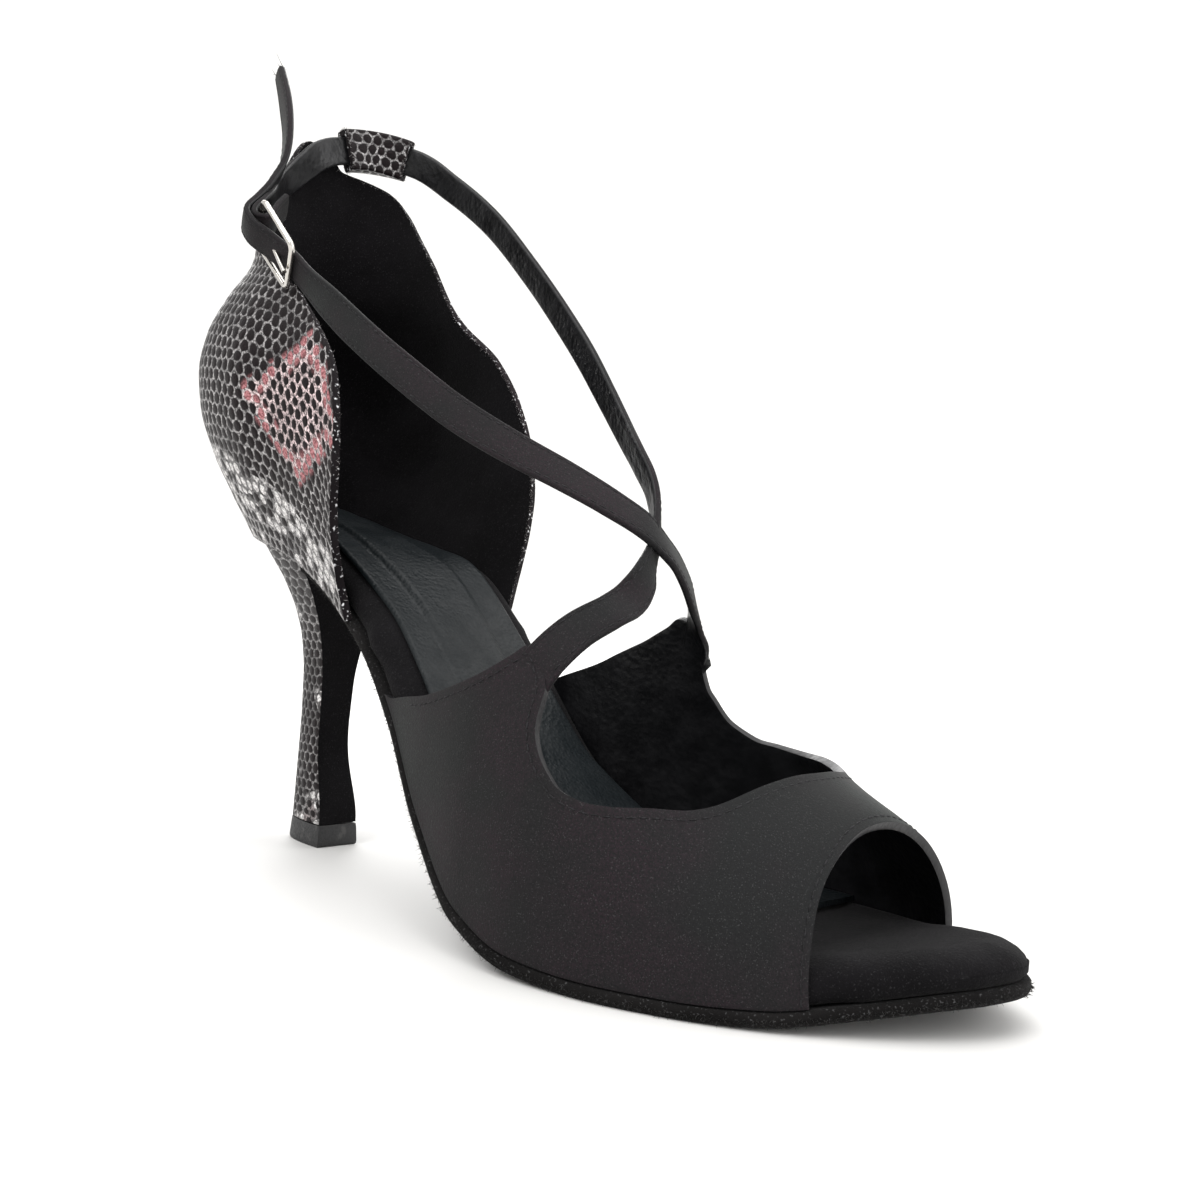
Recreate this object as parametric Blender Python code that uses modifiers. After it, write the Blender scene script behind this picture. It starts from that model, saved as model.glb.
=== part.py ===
"""Peep-toe dance sandal for the right foot, with crossed instep straps and a buckled ankle strap.

Metres. +X points to the toe, -Y to the outer (lateral) side, +Z up. The origin is the centre of
the heel tip's tread, and the heel tip and the ball of the sole stand on z = 0.
"""
import math

import bmesh
import bpy
import numpy as np
from mathutils import Matrix, Vector

# Sole: run from the heel tip's centre to the toe, width at the ball, drop from seat to floor
FOOT_RUN = 0.1772
BALL_WIDTH = 0.0805
HEEL_HEIGHT = 0.0655
ARCH_LIFT = 0.0105
OUTSOLE_THICK = 0.0025
OUTSOLE_WELT = 0.0006
INSOLE_THICK = 0.0065
SOCK_THICK = 0.0011
SOCK_PAD = 0.0013
TOE_DROP = 0.0013

# Heel
LIFT_THICK = 0.0052
TIP_LENGTH = 0.0168
TIP_WIDTH = 0.0118
NECK_LENGTH = 0.0116
NECK_WIDTH = 0.0090
NECK_AHEAD = -0.0022
NECK_RISE = 0.030

# Upper
INSTEP_HEIGHT = 0.079
COUNTER_HEIGHT = 0.100
UPPER_WALL = 0.0016
COUNTER_WALL = 0.0018
CUP_BULGE = 0.0172
CUP_SIDE_BULGE = 0.0140
ANKLE_SPREAD = 0.0080
STRAP_WIDTH = 0.0071
STRAP_THICK = 0.0015
LOOP_WALL = 0.0013
LOOP_LENGTH = 0.0165

# Buckle: outer length along the strap, outer height across it, and its wire
BUCKLE_LENGTH = 0.0172
BUCKLE_HEIGHT = 0.0136
BUCKLE_WIRE = 0.0014
BUCKLE_CORNER = 0.0016
PRONG_WIRE = 0.0011
PRONG_SLOT = 0.0026

# Clearances between pieces
FIT_GAP = 0.0003
SLIDE_GAP = 0.0003

# Sole sections from the seat's back to the toe. along: share of FOOT_RUN. lateral and medial:
# shares of BALL_WIDTH. rise: share of HEEL_HEIGHT. arch: share of ARCH_LIFT at the medial edge.
# crown: share of INSTEP_HEIGHT, the foot's top above the sole's underside.
SOLE_COLUMNS = ("along", "lateral", "medial", "rise", "arch", "crown")
SOLE_ROWS = (
    (-0.125, 0.000, 0.000, 1.107, 0.00, 1.20),
    (-0.110, -0.106, 0.106, 1.100, 0.00, 1.20),
    (-0.068, -0.180, 0.180, 1.078, 0.00, 1.20),
    (0.000, -0.211, 0.205, 1.038, 0.00, 1.20),
    (0.057, -0.217, 0.209, 0.989, 0.10, 1.20),
    (0.125, -0.236, 0.219, 0.908, 0.43, 1.20),
    (0.204, -0.261, 0.236, 0.771, 0.95, 1.20),
    (0.305, -0.330, 0.241, 0.557, 0.60, 1.19),
    (0.412, -0.421, 0.273, 0.282, 0.12, 1.14),
    (0.520, -0.497, 0.360, 0.076, 0.00, 1.06),
    (0.604, -0.522, 0.432, 0.014, 0.00, 0.92),
    (0.689, -0.499, 0.476, 0.000, 0.00, 0.715),
    (0.768, -0.441, 0.467, 0.000, 0.00, 0.505),
    (0.847, -0.347, 0.417, 0.009, 0.00, 0.400),
    (0.910, -0.230, 0.342, 0.044, 0.00, 0.304),
    (0.960, -0.110, 0.258, 0.076, 0.00, 0.24),
    (0.989, -0.005, 0.176, 0.090, 0.00, 0.21),
    (1.000, 0.089, 0.089, 0.095, 0.00, 0.20),
)
BREAST_ROW = 3.85
SEAT_ROWS = 10
SIDE_ROWS = 46

# Heel columns: flare from the neck to the seat, as shares of the rise and of the spread
FLARE_COLUMNS = ("rise", "spread")
FLARE_ROWS = (
    (0.00, 0.00),
    (0.25, 0.03),
    (0.45, 0.12),
    (0.62, 0.29),
    (0.78, 0.54),
    (0.90, 0.79),
    (1.00, 1.00),
)

# Cup's outward bulge above its lower edge: height share of COUNTER_HEIGHT, share of the bulge,
# share of ANKLE_SPREAD
CUP_COLUMNS = ("height", "bulge", "spread")
CUP_ROWS = (
    (0.00, 0.00, 0.00),
    (0.08, 0.31, 0.00),
    (0.19, 0.69, 0.00),
    (0.30, 0.93, 0.02),
    (0.38, 0.98, 0.06),
    (0.46, 0.88, 0.14),
    (0.54, 0.62, 0.26),
    (0.65, 0.15, 0.50),
    (0.75, 0.02, 0.80),
    (0.90, 0.00, 1.00),
    (1.10, 0.00, 1.00),
)

# Counter's rim and the lower-edge place that each rim point stands over. Rows of the sole table
# count round the seat, lateral side negative. height: share of COUNTER_HEIGHT.
COUNTER_COLUMNS = ("rim_row", "height", "base_row")
COUNTER_RIM = (
    (-5.74, 0.00, -5.74),
    (-5.70, 0.08, -5.54),
    (-5.75, 0.155, -5.35),
    (-5.86, 0.24, -5.10),
    (-5.97, 0.31, -4.85),
    (-6.00, 0.385, -4.60),
    (-5.87, 0.465, -4.30),
    (-5.50, 0.53, -4.00),
    (-4.90, 0.570, -3.65),
    (-4.10, 0.602, -3.25),
    (-3.25, 0.625, -2.80),
    (-2.40, 0.660, -2.20),
    (-1.60, 0.735, -1.55),
    (-0.80, 0.890, -0.80),
    (-0.10, 0.995, -0.10),
    (0.40, 0.99, 0.40),
    (0.85, 0.945, 0.85),
    (1.30, 0.94, 1.30),
    (1.80, 0.925, 1.80),
    (2.20, 0.88, 2.40),
    (2.60, 0.81, 2.90),
    (3.20, 0.72, 3.40),
    (4.10, 0.62, 3.90),
    (5.10, 0.54, 4.35),
    (5.70, 0.43, 4.75),
    (6.00, 0.33, 5.15),
    (6.15, 0.24, 5.50),
    (6.20, 0.15, 5.85),
    (6.25, 0.00, 6.25),
)

# Vamp's rim and the lower-edge place that each rim point goes down to. Shares of FOOT_RUN, and
# degrees round the foot from the lateral edge over the crown to the medial edge.
VAMP_COLUMNS = ("rim_along", "rim_turn", "edge_along", "edge_turn")
VAMP_RIM = (
    (0.288, 0, 0.288, 0),
    (0.367, 13, 0.338, 0),
    (0.452, 24, 0.395, 0),
    (0.508, 33, 0.430, 0),
    (0.535, 38.5, 0.448, 0),
    (0.552, 41.2, 0.468, 0),
    (0.568, 40.3, 0.490, 0),
    (0.576, 36, 0.519, 0),
    (0.578, 31.8, 0.555, 0),
    (0.591, 28.3, 0.600, 0),
    (0.621, 26.8, 0.638, 0),
    (0.654, 28, 0.678, 0),
    (0.689, 32, 0.728, 0),
    (0.717, 37.5, 0.784, 0),
    (0.745, 45, 0.842, 0),
    (0.761, 53, 0.880, 0),
    (0.772, 64, 0.873, 22),
    (0.780, 77, 0.863, 48),
    (0.784, 90, 0.857, 80),
    (0.778, 104, 0.858, 108),
    (0.762, 117, 0.860, 132),
    (0.736, 128, 0.862, 156),
    (0.703, 137, 0.858, 180),
    (0.666, 143.5, 0.801, 180),
    (0.632, 147.5, 0.739, 180),
    (0.601, 150, 0.683, 180),
    (0.572, 150.5, 0.632, 180),
    (0.553, 148.5, 0.590, 180),
    (0.544, 145, 0.547, 180),
    (0.537, 141, 0.515, 180),
    (0.524, 140, 0.486, 180),
    (0.500, 142, 0.462, 180),
    (0.470, 148.5, 0.434, 180),
    (0.428, 156, 0.395, 180),
    (0.373, 164, 0.349, 180),
    (0.310, 180, 0.310, 180),
)

# Free stretch of each instep strap: along and across as shares of FOOT_RUN and BALL_WIDTH, above
# the sole as a share of COUNTER_HEIGHT, and the way the strap's face looks.
FREE_COLUMNS = ("along", "across", "above", "face_x", "face_y", "face_z")
MEDIAL_STRAP_FREE = (
    (0.607, -0.217, 0.622, 0.75, 0.05, 0.65),
    (0.605, -0.166, 0.660, 0.80, 0.35, 0.45),
    (0.592, -0.109, 0.703, 0.75, 0.62, 0.20),
    (0.580, -0.065, 0.748, 0.62, 0.70, 0.30),
    (0.562, -0.028, 0.786, 0.50, 0.80, 0.30),
    (0.541, 0.000, 0.824, 0.47, 0.83, 0.30),
    (0.512, 0.031, 0.850, 0.42, 0.86, 0.30),
    (0.465, 0.087, 0.862, 0.34, 0.90, 0.28),
    (0.410, 0.143, 0.868, 0.26, 0.93, 0.26),
    (0.347, 0.193, 0.866, 0.20, 0.95, 0.24),
    (0.290, 0.230, 0.862, 0.18, 0.95, 0.26),
    (0.200, 0.273, 0.878, 0.16, 0.94, 0.30),
    (0.093, 0.308, 0.919, 0.10, 0.96, 0.28),
    (0.008, 0.317, 0.962, 0.00, 0.97, 0.24),
    (-0.056, 0.286, 1.006, -0.35, 0.92, 0.18),
)
LATERAL_STRAP_FREE = (
    (0.553, 0.195, 0.572, 0.70, 0.60, 0.40),
    (0.571, 0.118, 0.622, 0.85, 0.45, 0.30),
    (0.579, 0.068, 0.655, 0.85, 0.38, 0.36),
    (0.588, 0.005, 0.690, 0.85, 0.25, 0.46),
    (0.597, -0.090, 0.731, 0.80, 0.00, 0.60),
    (0.593, -0.134, 0.754, 0.72, -0.18, 0.66),
    (0.562, -0.190, 0.782, 0.60, -0.40, 0.68),
    (0.510, -0.242, 0.797, 0.50, -0.60, 0.62),
    (0.457, -0.286, 0.777, 0.42, -0.75, 0.50),
    (0.377, -0.335, 0.727, 0.30, -0.88, 0.36),
    (0.304, -0.360, 0.677, 0.20, -0.93, 0.30),
    (0.210, -0.366, 0.644, 0.08, -0.97, 0.20),
    (0.151, -0.358, 0.637, -0.05, -0.98, 0.00),
)

# Roots of the straps on the vamp's wings: share of FOOT_RUN, and degrees round the foot
MEDIAL_STRAP_ROOT = ((0.548, 32), (0.573, 42), (0.591, 51), (0.608, 60))
LATERAL_STRAP_ROOT = ((0.500, 152), (0.530, 143))
ROOT_WIDTH = 0.0082
ROOT_STAND = -0.0003


def unit(v):
    v = np.asarray(v, float)
    return v / np.linalg.norm(v)


def through(rows, at):
    """Smooth values between a table's rows that never pass the rows' own values."""
    rows = np.asarray(rows, float)
    at = np.clip(np.asarray(at, float), 0, len(rows) - 1)
    steps = np.diff(rows, axis=0)
    before = np.vstack([steps[:1], steps])
    after = np.vstack([steps, steps[-1:]])
    both = before * after
    total = np.where(before + after == 0, 1, before + after)
    slopes = np.where(both > 0, 2 * both / total, 0)
    low = np.minimum(at.astype(int), len(rows) - 2)
    f = (at - low)[..., None]
    h = f * f * (3 - 2 * f)
    return (
        rows[low] * (1 - h)
        + rows[low + 1] * h
        + slopes[low] * f * (1 - f) ** 2
        - slopes[low + 1] * f * f * (1 - f)
    )


def mirrored_ends(rows):
    """The sole's rows with one more past each end, where the two sides change places."""
    rows = [list(row) for row in rows]
    swap = lambda row: [row[0], row[2], row[1], *row[3:]]
    return np.array([swap(rows[1]), *rows, swap(rows[-2])])


SOLE = mirrored_ends(SOLE_ROWS)
LAST_ROW = len(SOLE_ROWS) - 1


def sole(row):
    """Sole section at a row: x, lateral y, medial y, underside z, arch and crown, in metres."""
    values = through(SOLE, np.asarray(row, float) + 1)
    sizes = (FOOT_RUN, BALL_WIDTH, BALL_WIDTH, HEEL_HEIGHT, ARCH_LIFT, INSTEP_HEIGHT)
    return values * np.array(sizes)


def row_at(along):
    """The sole row at a share of FOOT_RUN."""
    fine = np.linspace(0, LAST_ROW, 1200)
    return np.interp(along, sole(fine)[:, 0] / FOOT_RUN, fine)


def outline(row, side):
    """A point of the sole's outline in plan, and its outward direction. side is -1 or 1."""
    step = 0.02
    column = 1 if side < 0 else 2

    def place(r):
        folded = abs(r)
        s = sole(folded)
        return np.array([s[0], s[column] if r >= 0 else s[3 - column]])

    ahead = min(row + step, LAST_ROW)
    way = place(ahead) - place(row - step)
    out = unit((way[1] * -side, way[0] * side))
    return place(row), out


def under(row, y):
    """Height of the sole's underside at a row and a y."""
    s = sole(row)
    width = max(s[2] - s[1], 1e-9)
    share = min(max((y - s[1]) / width, 0), 1)
    return s[3] + s[4] * share**1.6


def side_of(signed_row):
    return -1 if signed_row < 0 else 1


BASE_RISE = OUTSOLE_THICK + FIT_GAP


def cup_point(signed_row, height, stand=0.0):
    """A point of the heel cup's outer face, height in metres above its lower edge, and the way out."""
    row, side = abs(signed_row), side_of(signed_row)
    place, out = outline(row, side)
    base = under(row, place[1]) + BASE_RISE
    heights = np.array([r[0] for r in CUP_ROWS])
    at = np.interp(height / COUNTER_HEIGHT, heights, np.arange(len(heights)))
    _, bulge, spread = through(CUP_ROWS, at)
    backness = math.exp(-((row / 1.9) ** 2))
    frontness = min(max((row - 3.0) / 2.6, 0), 1)
    reach = CUP_SIDE_BULGE * (1 - 0.42 * frontness)
    reach = reach + (CUP_BULGE - reach) * backness
    widening = ANKLE_SPREAD * (1 - 0.75 * backness)
    off = reach * bulge + widening * spread + stand
    return np.array([*(place + out * off), base + height]), np.array([*out, 0.0])


def foot_point(along, turn, stand=0.0):
    """A point of the foot's form over the forefoot, and the way out of it."""

    def place(a, degrees):
        s = sole(row_at(a))
        theta = math.radians(degrees)
        share = (1 - math.cos(theta)) / 2
        y = s[1] + (s[2] - s[1]) * share
        foot = s[3] + s[4] * share**1.6 + BASE_RISE
        top = s[3] + s[5]
        return np.array([s[0], y, foot + (top - foot) * math.sin(theta)])

    ahead = place(along + 0.004, turn) - place(along - 0.004, turn)
    low, high = max(turn - 1, 0), min(turn + 1, 180)
    round_ = place(along, high) - place(along, low)
    out = unit(np.cross(ahead, round_)) * -1
    centre = place(along, 90) * np.array([1, 1, 0.5])
    if np.dot(out, place(along, turn) - centre) < 0:
        out = -out
    return place(along, turn) + out * stand, out


def new_material(name, colour, roughness, metallic=0.0):
    material = bpy.data.materials.new(name)
    material.use_nodes = True
    shader = material.node_tree.nodes["Principled BSDF"]
    shader.inputs["Base Color"].default_value = (*colour, 1)
    shader.inputs["Roughness"].default_value = roughness
    shader.inputs["Metallic"].default_value = metallic
    return material


def collections():
    """The collection that holds the shoe, and the hidden one that holds its cutters."""
    made = []
    for name in ("dance_sandal", "cutters"):
        group = bpy.data.collections.new(name)
        bpy.context.scene.collection.children.link(group)
        made.append(group)
    return made


def place_object(name, mesh, material, group):
    obj = bpy.data.objects.new(name, mesh)
    obj.data.materials.append(material)
    group.objects.link(obj)
    return obj


def finish_mesh(name, bm, sharp=40):
    bmesh.ops.remove_doubles(bm, verts=bm.verts, dist=1e-6)
    bmesh.ops.dissolve_degenerate(bm, edges=bm.edges, dist=1e-7)
    bmesh.ops.recalc_face_normals(bm, faces=bm.faces)
    mesh = bpy.data.meshes.new(name)
    bm.to_mesh(mesh)
    bm.free()
    mesh.shade_smooth()
    mesh.set_sharp_from_angle(angle=math.radians(sharp))
    return mesh


def block_mesh(name, points):
    """The closed skin of a block of points[level][along][across], ends and sides included."""
    points = np.asarray(points, float)
    levels, rows, columns = points.shape[:3]
    bm = bmesh.new()
    made = {}

    def vert(key):
        if key not in made:
            made[key] = bm.verts.new(points[key])
        return made[key]

    def sheet(a_count, b_count, key):
        for a in range(a_count - 1):
            for b in range(b_count - 1):
                corners = ((a, b), (a + 1, b), (a + 1, b + 1), (a, b + 1))
                bm.faces.new([vert(key(*c)) for c in corners])

    for level in (0, levels - 1):
        sheet(rows, columns, lambda a, b: (level, a, b))
    for column in (0, columns - 1):
        sheet(levels, rows, lambda a, b: (a, b, column))
    for row in (0, rows - 1):
        sheet(levels, columns, lambda a, b: (a, row, b))
    return finish_mesh(name, bm)


def sheet_mesh(name, points):
    """An open sheet of points[along][across]."""
    points = np.asarray(points, float)
    rows, columns = points.shape[:2]
    bm = bmesh.new()
    verts = [[bm.verts.new(points[a, b]) for b in range(columns)] for a in range(rows)]
    for a in range(rows - 1):
        for b in range(columns - 1):
            bm.faces.new((verts[a][b], verts[a + 1][b], verts[a + 1][b + 1], verts[a][b + 1]))
    bmesh.ops.remove_doubles(bm, verts=bm.verts, dist=1e-6)
    bmesh.ops.dissolve_degenerate(bm, edges=bm.edges, dist=1e-7)
    mesh = bpy.data.meshes.new(name)
    bm.to_mesh(mesh)
    bm.free()
    mesh.shade_smooth()
    return mesh


def plate_points(rows, levels, inset_lateral, inset_medial, columns=6, top_swell=None):
    """Block points of a plate that follows the sole. levels: (inset, height above the underside)."""
    points = []
    for inset, height in levels:
        ring = []
        for row in rows:
            lateral, lateral_out = outline(row, -1)
            medial, medial_out = outline(row, 1)
            a = lateral - lateral_out * (inset + inset_lateral(row))
            b = medial - medial_out * (inset + inset_medial(row))
            line = []
            for share in np.linspace(0, 1, columns):
                x, y = a + (b - a) * share
                z = under(row, y) + height
                if top_swell:
                    z += top_swell(row, share, height)
                line.append((x, y, z))
            ring.append(line)
        points.append(ring)
    return points


def no_inset(row):
    return 0.0


def sole_rows(first, last, count):
    """Rows spread evenly, and closer together towards a rounded end of the outline."""
    rows = np.linspace(first, last, count)
    if last >= LAST_ROW:
        extra = LAST_ROW - np.array([0.55, 0.3, 0.12])
        rows = np.sort(np.append(rows, extra))
    if first <= 0:
        rows = np.sort(np.append(rows, [0.12, 0.3, 0.55]))
    return rows


def make_outsole(group):
    rows = sole_rows(BREAST_ROW + 0.06, LAST_ROW, SIDE_ROWS)
    welt = lambda row: -OUTSOLE_WELT
    levels = ((0.0006, 0.0), (0.0, 0.0007), (0.0, OUTSOLE_THICK - 0.0004), (0.0005, OUTSOLE_THICK))
    points = plate_points(rows, levels, welt, welt)
    material = new_material("suede_sole", (0.02, 0.018, 0.017), 0.95)
    return place_object("outsole", block_mesh("outsole", points), material, group)


# Sole rows by which the insole's narrow stretch outruns the upper's wall, and over which it widens
COVER_MARGIN = 0.26
COVER_FADE = 0.12


def covered(row, spans):
    """How far the upper covers the insole's edge at a row: 0 in the open, 1 covered."""
    amount = 0.0
    for first, last in spans:
        rising = (row - first) / COVER_FADE + 1 if first > 0 else 1.0
        amount = max(amount, min(rising, (last - row) / COVER_FADE + 1, 1.0))
    return max(amount, 0.0)


def vamp_span(side):
    """First and last sole row of the vamp's lower edge on a side."""
    turn = 0 if side < 0 else 180
    places = [row[2] for row in VAMP_RIM if row[3] == turn]
    return row_at(min(places)), row_at(max(places))


def counter_span(side):
    return (0.0, abs(COUNTER_RIM[0 if side < 0 else -1][2]))


def covered_inset(side):
    """Inset of the insole's edge that makes room for the upper's wall."""
    first, last = vamp_span(side)
    heel_end = counter_span(side)[1]
    spans = ((0.0, heel_end + COVER_MARGIN), (first - COVER_MARGIN, last + COVER_MARGIN))
    room = max(COUNTER_WALL, UPPER_WALL) + FIT_GAP + 0.0002
    return lambda row: room * covered(row, spans)


def toe_drop(row, share, height):
    """The insole grows thinner towards the toe's tip."""
    if height < OUTSOLE_THICK + FIT_GAP + INSOLE_THICK * 0.4:
        return 0.0
    return -TOE_DROP * min(max((row - 13.4) / 2.4, 0.0), 1.0)


def make_insole(group):
    rows = sole_rows(0, LAST_ROW, SIDE_ROWS + 10)
    bottom = OUTSOLE_THICK + FIT_GAP
    top = bottom + INSOLE_THICK
    levels = (
        (0.0008, bottom),
        (0.0, bottom + 0.0010),
        (0.0, top - 0.0032),
        (0.0008, top - 0.0013),
        (0.0028, top),
    )
    points = plate_points(rows, levels, covered_inset(-1), covered_inset(1), 6, toe_drop)
    material = new_material("suede_insole", (0.012, 0.012, 0.013), 0.95)
    return place_object("insole", block_mesh("insole", points), material, group)


# Sock lining: sole rows it covers, and its margins from the insole's outline, in metres
SOCK_FIRST_ROW = 0.45
SOCK_LAST_ROW = 13.0
SOCK_MARGINS = (
    (0.0045, 0.0045),
    (0.0045, 0.0045),
    (0.0040, 0.0050),
    (0.0058, 0.0060),
    (0.0075, 0.0065),
    (0.0080, 0.0060),
    (0.0080, 0.0060),
    (0.0110, 0.0110),
)
SOCK_MARGIN_ROWS = (0.0, 3.0, 5.0, 6.5, 8.0, 9.5, 11.5, 13.0)


def sock_margin(column):
    def inset(row):
        at = np.interp(row, SOCK_MARGIN_ROWS, np.arange(len(SOCK_MARGIN_ROWS)))
        return float(through(SOCK_MARGINS, at)[column])

    return inset


def pad_swell(row, share, height):
    """The sock's raised tongue, which ends round at both ends."""
    if height < OUTSOLE_THICK + INSOLE_THICK + 2 * FIT_GAP + SOCK_THICK * 0.5:
        return 0.0
    across = (share - 0.5) / 0.26
    lengthwise = (row - 4.4) / 3.5
    far = abs(across) ** 3 + abs(lengthwise) ** 4
    return SOCK_PAD * max(0.0, min(1.0, (1.25 - far) / 0.5))


def make_sock(group):
    rows = sole_rows(SOCK_FIRST_ROW, SOCK_LAST_ROW, SIDE_ROWS)
    bottom = OUTSOLE_THICK + FIT_GAP + INSOLE_THICK + FIT_GAP
    levels = ((0.0, bottom), (0.0003, bottom + SOCK_THICK))
    points = plate_points(rows, levels, sock_margin(0), sock_margin(1), 14, pad_swell)
    material = new_material("sock_leather", (0.035, 0.045, 0.055), 0.45)
    return place_object("sock", block_mesh("sock", points), material, group)


def d_section(count):
    """A D in plan from its round back (0) to its flat front (1): shares along and out to a side."""
    q = np.linspace(0, 1, count)
    return 1 - np.cos(q * math.pi / 2) ** 1.1, np.sin(q * math.pi / 2) ** 0.85


HEEL_LEVELS = (0.0, 0.3, 0.6, 0.85, 1.0)


def heel_column(i, count, side_share, z_share, along, out):
    """One point of the heel between the tip and the seat."""
    row = BREAST_ROW * i / (count - 1)
    lateral, lateral_out = outline(row, -1)
    medial, medial_out = outline(row, 1)
    seat = lateral + (medial - lateral) * side_share
    top = under(row, seat[1]) + OUTSOLE_THICK
    across = 2 * side_share - 1

    def d_place(length, width, middle):
        x = middle - length / 2 + length * along[i]
        return np.array([x, across * width / 2 * out[i]])

    tip = d_place(TIP_LENGTH * 0.94, TIP_WIDTH * 0.94, 0.0)
    neck = d_place(NECK_LENGTH, NECK_WIDTH, NECK_AHEAD)
    if z_share < 1:
        ease = z_share * z_share * (3 - 2 * z_share)
        ease = 1 - (1 - ease) ** 1.6
        xy = tip + (neck - tip) * ease
        z = LIFT_THICK + FIT_GAP + (NECK_RISE - LIFT_THICK - FIT_GAP) * z_share
        return (*xy, z)
    rise = z_share - 1
    rises = [r[0] for r in FLARE_ROWS]
    spread = float(through(FLARE_ROWS, np.interp(rise, rises, np.arange(len(rises))))[1])
    xy = neck + (seat - neck) * spread
    return (*xy, NECK_RISE + (top - NECK_RISE) * rise)


def make_heel(group):
    count, columns = 13, 7
    along, out = d_section(count)
    shares = [*HEEL_LEVELS, *(1 + np.linspace(0, 1, 11)[1:])]
    points = [
        [
            [heel_column(i, count, s, share, along, out) for s in np.linspace(0, 1, columns)]
            for i in range(count)
        ]
        for share in shares
    ]
    material = new_material("snake_leather", (0.12, 0.10, 0.10), 0.4)
    return place_object("heel", block_mesh("heel", points), material, group)


def make_heel_tip(group):
    count, columns = 13, 5
    along, out = d_section(count)
    points = []
    for grow, z in ((0.985, 0.0), (1.0, 0.0004), (0.95, LIFT_THICK)):
        length, width = TIP_LENGTH * grow, TIP_WIDTH * grow
        ring = []
        for i in range(count):
            x = length * (along[i] - 0.5)
            shares = np.linspace(-1, 1, columns)
            ring.append([(x, width / 2 * out[i] * s, z) for s in shares])
        points.append(ring)
    material = new_material("lift_rubber", (0.02, 0.02, 0.02), 0.6)
    return place_object("heel_tip", block_mesh("heel_tip", points), material, group)


def add_wall(obj, thick, offset=-1.0):
    wall = obj.modifiers.new("wall", "SOLIDIFY")
    wall.thickness = thick
    wall.offset = offset
    return wall


def band_rows(table, between):
    """Places along a table's rows: each row, and some between."""
    return np.linspace(0, len(table) - 1, (len(table) - 1) * between + 1)


def make_counter(group):
    points = []
    for at in band_rows(COUNTER_RIM, 3):
        rim_row, height, base_row = through(COUNTER_RIM, at)
        shares = np.linspace(0, 1, 12)
        points.append([
            cup_point(base_row + (rim_row - base_row) * s, height * s * COUNTER_HEIGHT)[0]
            for s in shares
        ])
    material = new_material("snake_leather_counter", (0.12, 0.10, 0.10), 0.4)
    obj = place_object("counter", sheet_mesh("counter", points), material, group)
    add_wall(obj, COUNTER_WALL)
    return obj


def vamp_sheet():
    points = []
    for at in band_rows(VAMP_RIM, 3):
        rim_along, rim_turn, edge_along, edge_turn = through(VAMP_RIM, at)
        line = []
        for s in np.linspace(0, 1, 7):
            along = edge_along + (rim_along - edge_along) * s
            turn = edge_turn + (rim_turn - edge_turn) * s
            line.append(foot_point(along, turn)[0])
        points.append(line)
    return points


def free_points(rows):
    """World points and faces of a strap's free stretch."""
    return [(perch(*row[:3]), unit(row[3:])) for row in rows]


STRAP_STEP = 0.0032


def ribbon(stations, width, widths=None):
    """Sheet points of a strap through stations of (place, way its face looks)."""
    places = np.array([p for p, _ in stations])
    faces = np.array([f for _, f in stations])
    gaps = np.linalg.norm(np.diff(places, axis=0), axis=1)
    at_station = np.concatenate([[0], np.cumsum(gaps)])
    counts = [max(2, round(gap / STRAP_STEP)) for gap in gaps]
    index = np.concatenate([i + np.arange(n) / n for i, n in enumerate(counts)] + [[len(gaps)]])
    at = np.interp(index, np.arange(len(places)), at_station)
    curve = chord_curve(places, at_station, at)
    looks = through(faces, index)
    run = np.gradient(curve, axis=0)
    rows = []
    for i, place in enumerate(curve):
        way = unit(run[i])
        look = unit(looks[i] - way * np.dot(looks[i], way))
        across = np.cross(way, look)
        half = (width if widths is None else np.interp(index[i], *widths)) / 2
        rows.append([place - across * half, place, place + across * half])
    return rows


def chord_curve(places, at_station, at):
    """A smooth curve through places, spaced by the distance between them."""
    slopes = np.gradient(places, at_station, axis=0)
    low = np.clip(np.searchsorted(at_station, at, side="right") - 1, 0, len(places) - 2)
    span = (at_station[low + 1] - at_station[low])[:, None]
    f = (at - at_station[low])[:, None] / span
    h = f * f * (3 - 2 * f)
    return (
        places[low] * (1 - h)
        + places[low + 1] * h
        + slopes[low] * span * f * (1 - f) ** 2
        - slopes[low + 1] * span * f * f * (1 - f)
    )


# Buckle's place: its middle in the same shares as the straps, the way to its front bar, and the
# way that its outer face looks
BUCKLE_MIDDLE = (0.039, -0.379, 0.692)
BUCKLE_AHEAD = (0.70, 0.05, -0.71)
BUCKLE_FACE = (-0.26, -0.91, -0.33)


def perch(along, across, above):
    """A point from shares of FOOT_RUN, BALL_WIDTH and, above the sole, COUNTER_HEIGHT."""
    foot = sole(row_at(along))[3] + BASE_RISE
    return np.array([along * FOOT_RUN, across * BALL_WIDTH, foot + above * COUNTER_HEIGHT])


def buckle_axes():
    """Middle, way to the front bar, way up along the bars, and way out of the ankle."""
    ahead = unit(BUCKLE_AHEAD)
    out = unit(BUCKLE_FACE - ahead * np.dot(BUCKLE_FACE, ahead))
    bars = np.cross(out, ahead)
    return perch(*BUCKLE_MIDDLE), ahead, bars * (1 if bars[2] > 0 else -1), out


def buckle_point(front, bars=0.0, out=0.0):
    """A point in the buckle's own axes."""
    middle, ahead, up, away = buckle_axes()
    return middle + ahead * front + up * bars + away * out


BAR_REACH = (BUCKLE_LENGTH - BUCKLE_WIRE) / 2
LAYER = BUCKLE_WIRE / 2 + SLIDE_GAP + STRAP_THICK / 2
TAIL_OUT = LAYER + STRAP_THICK + SLIDE_GAP


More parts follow.
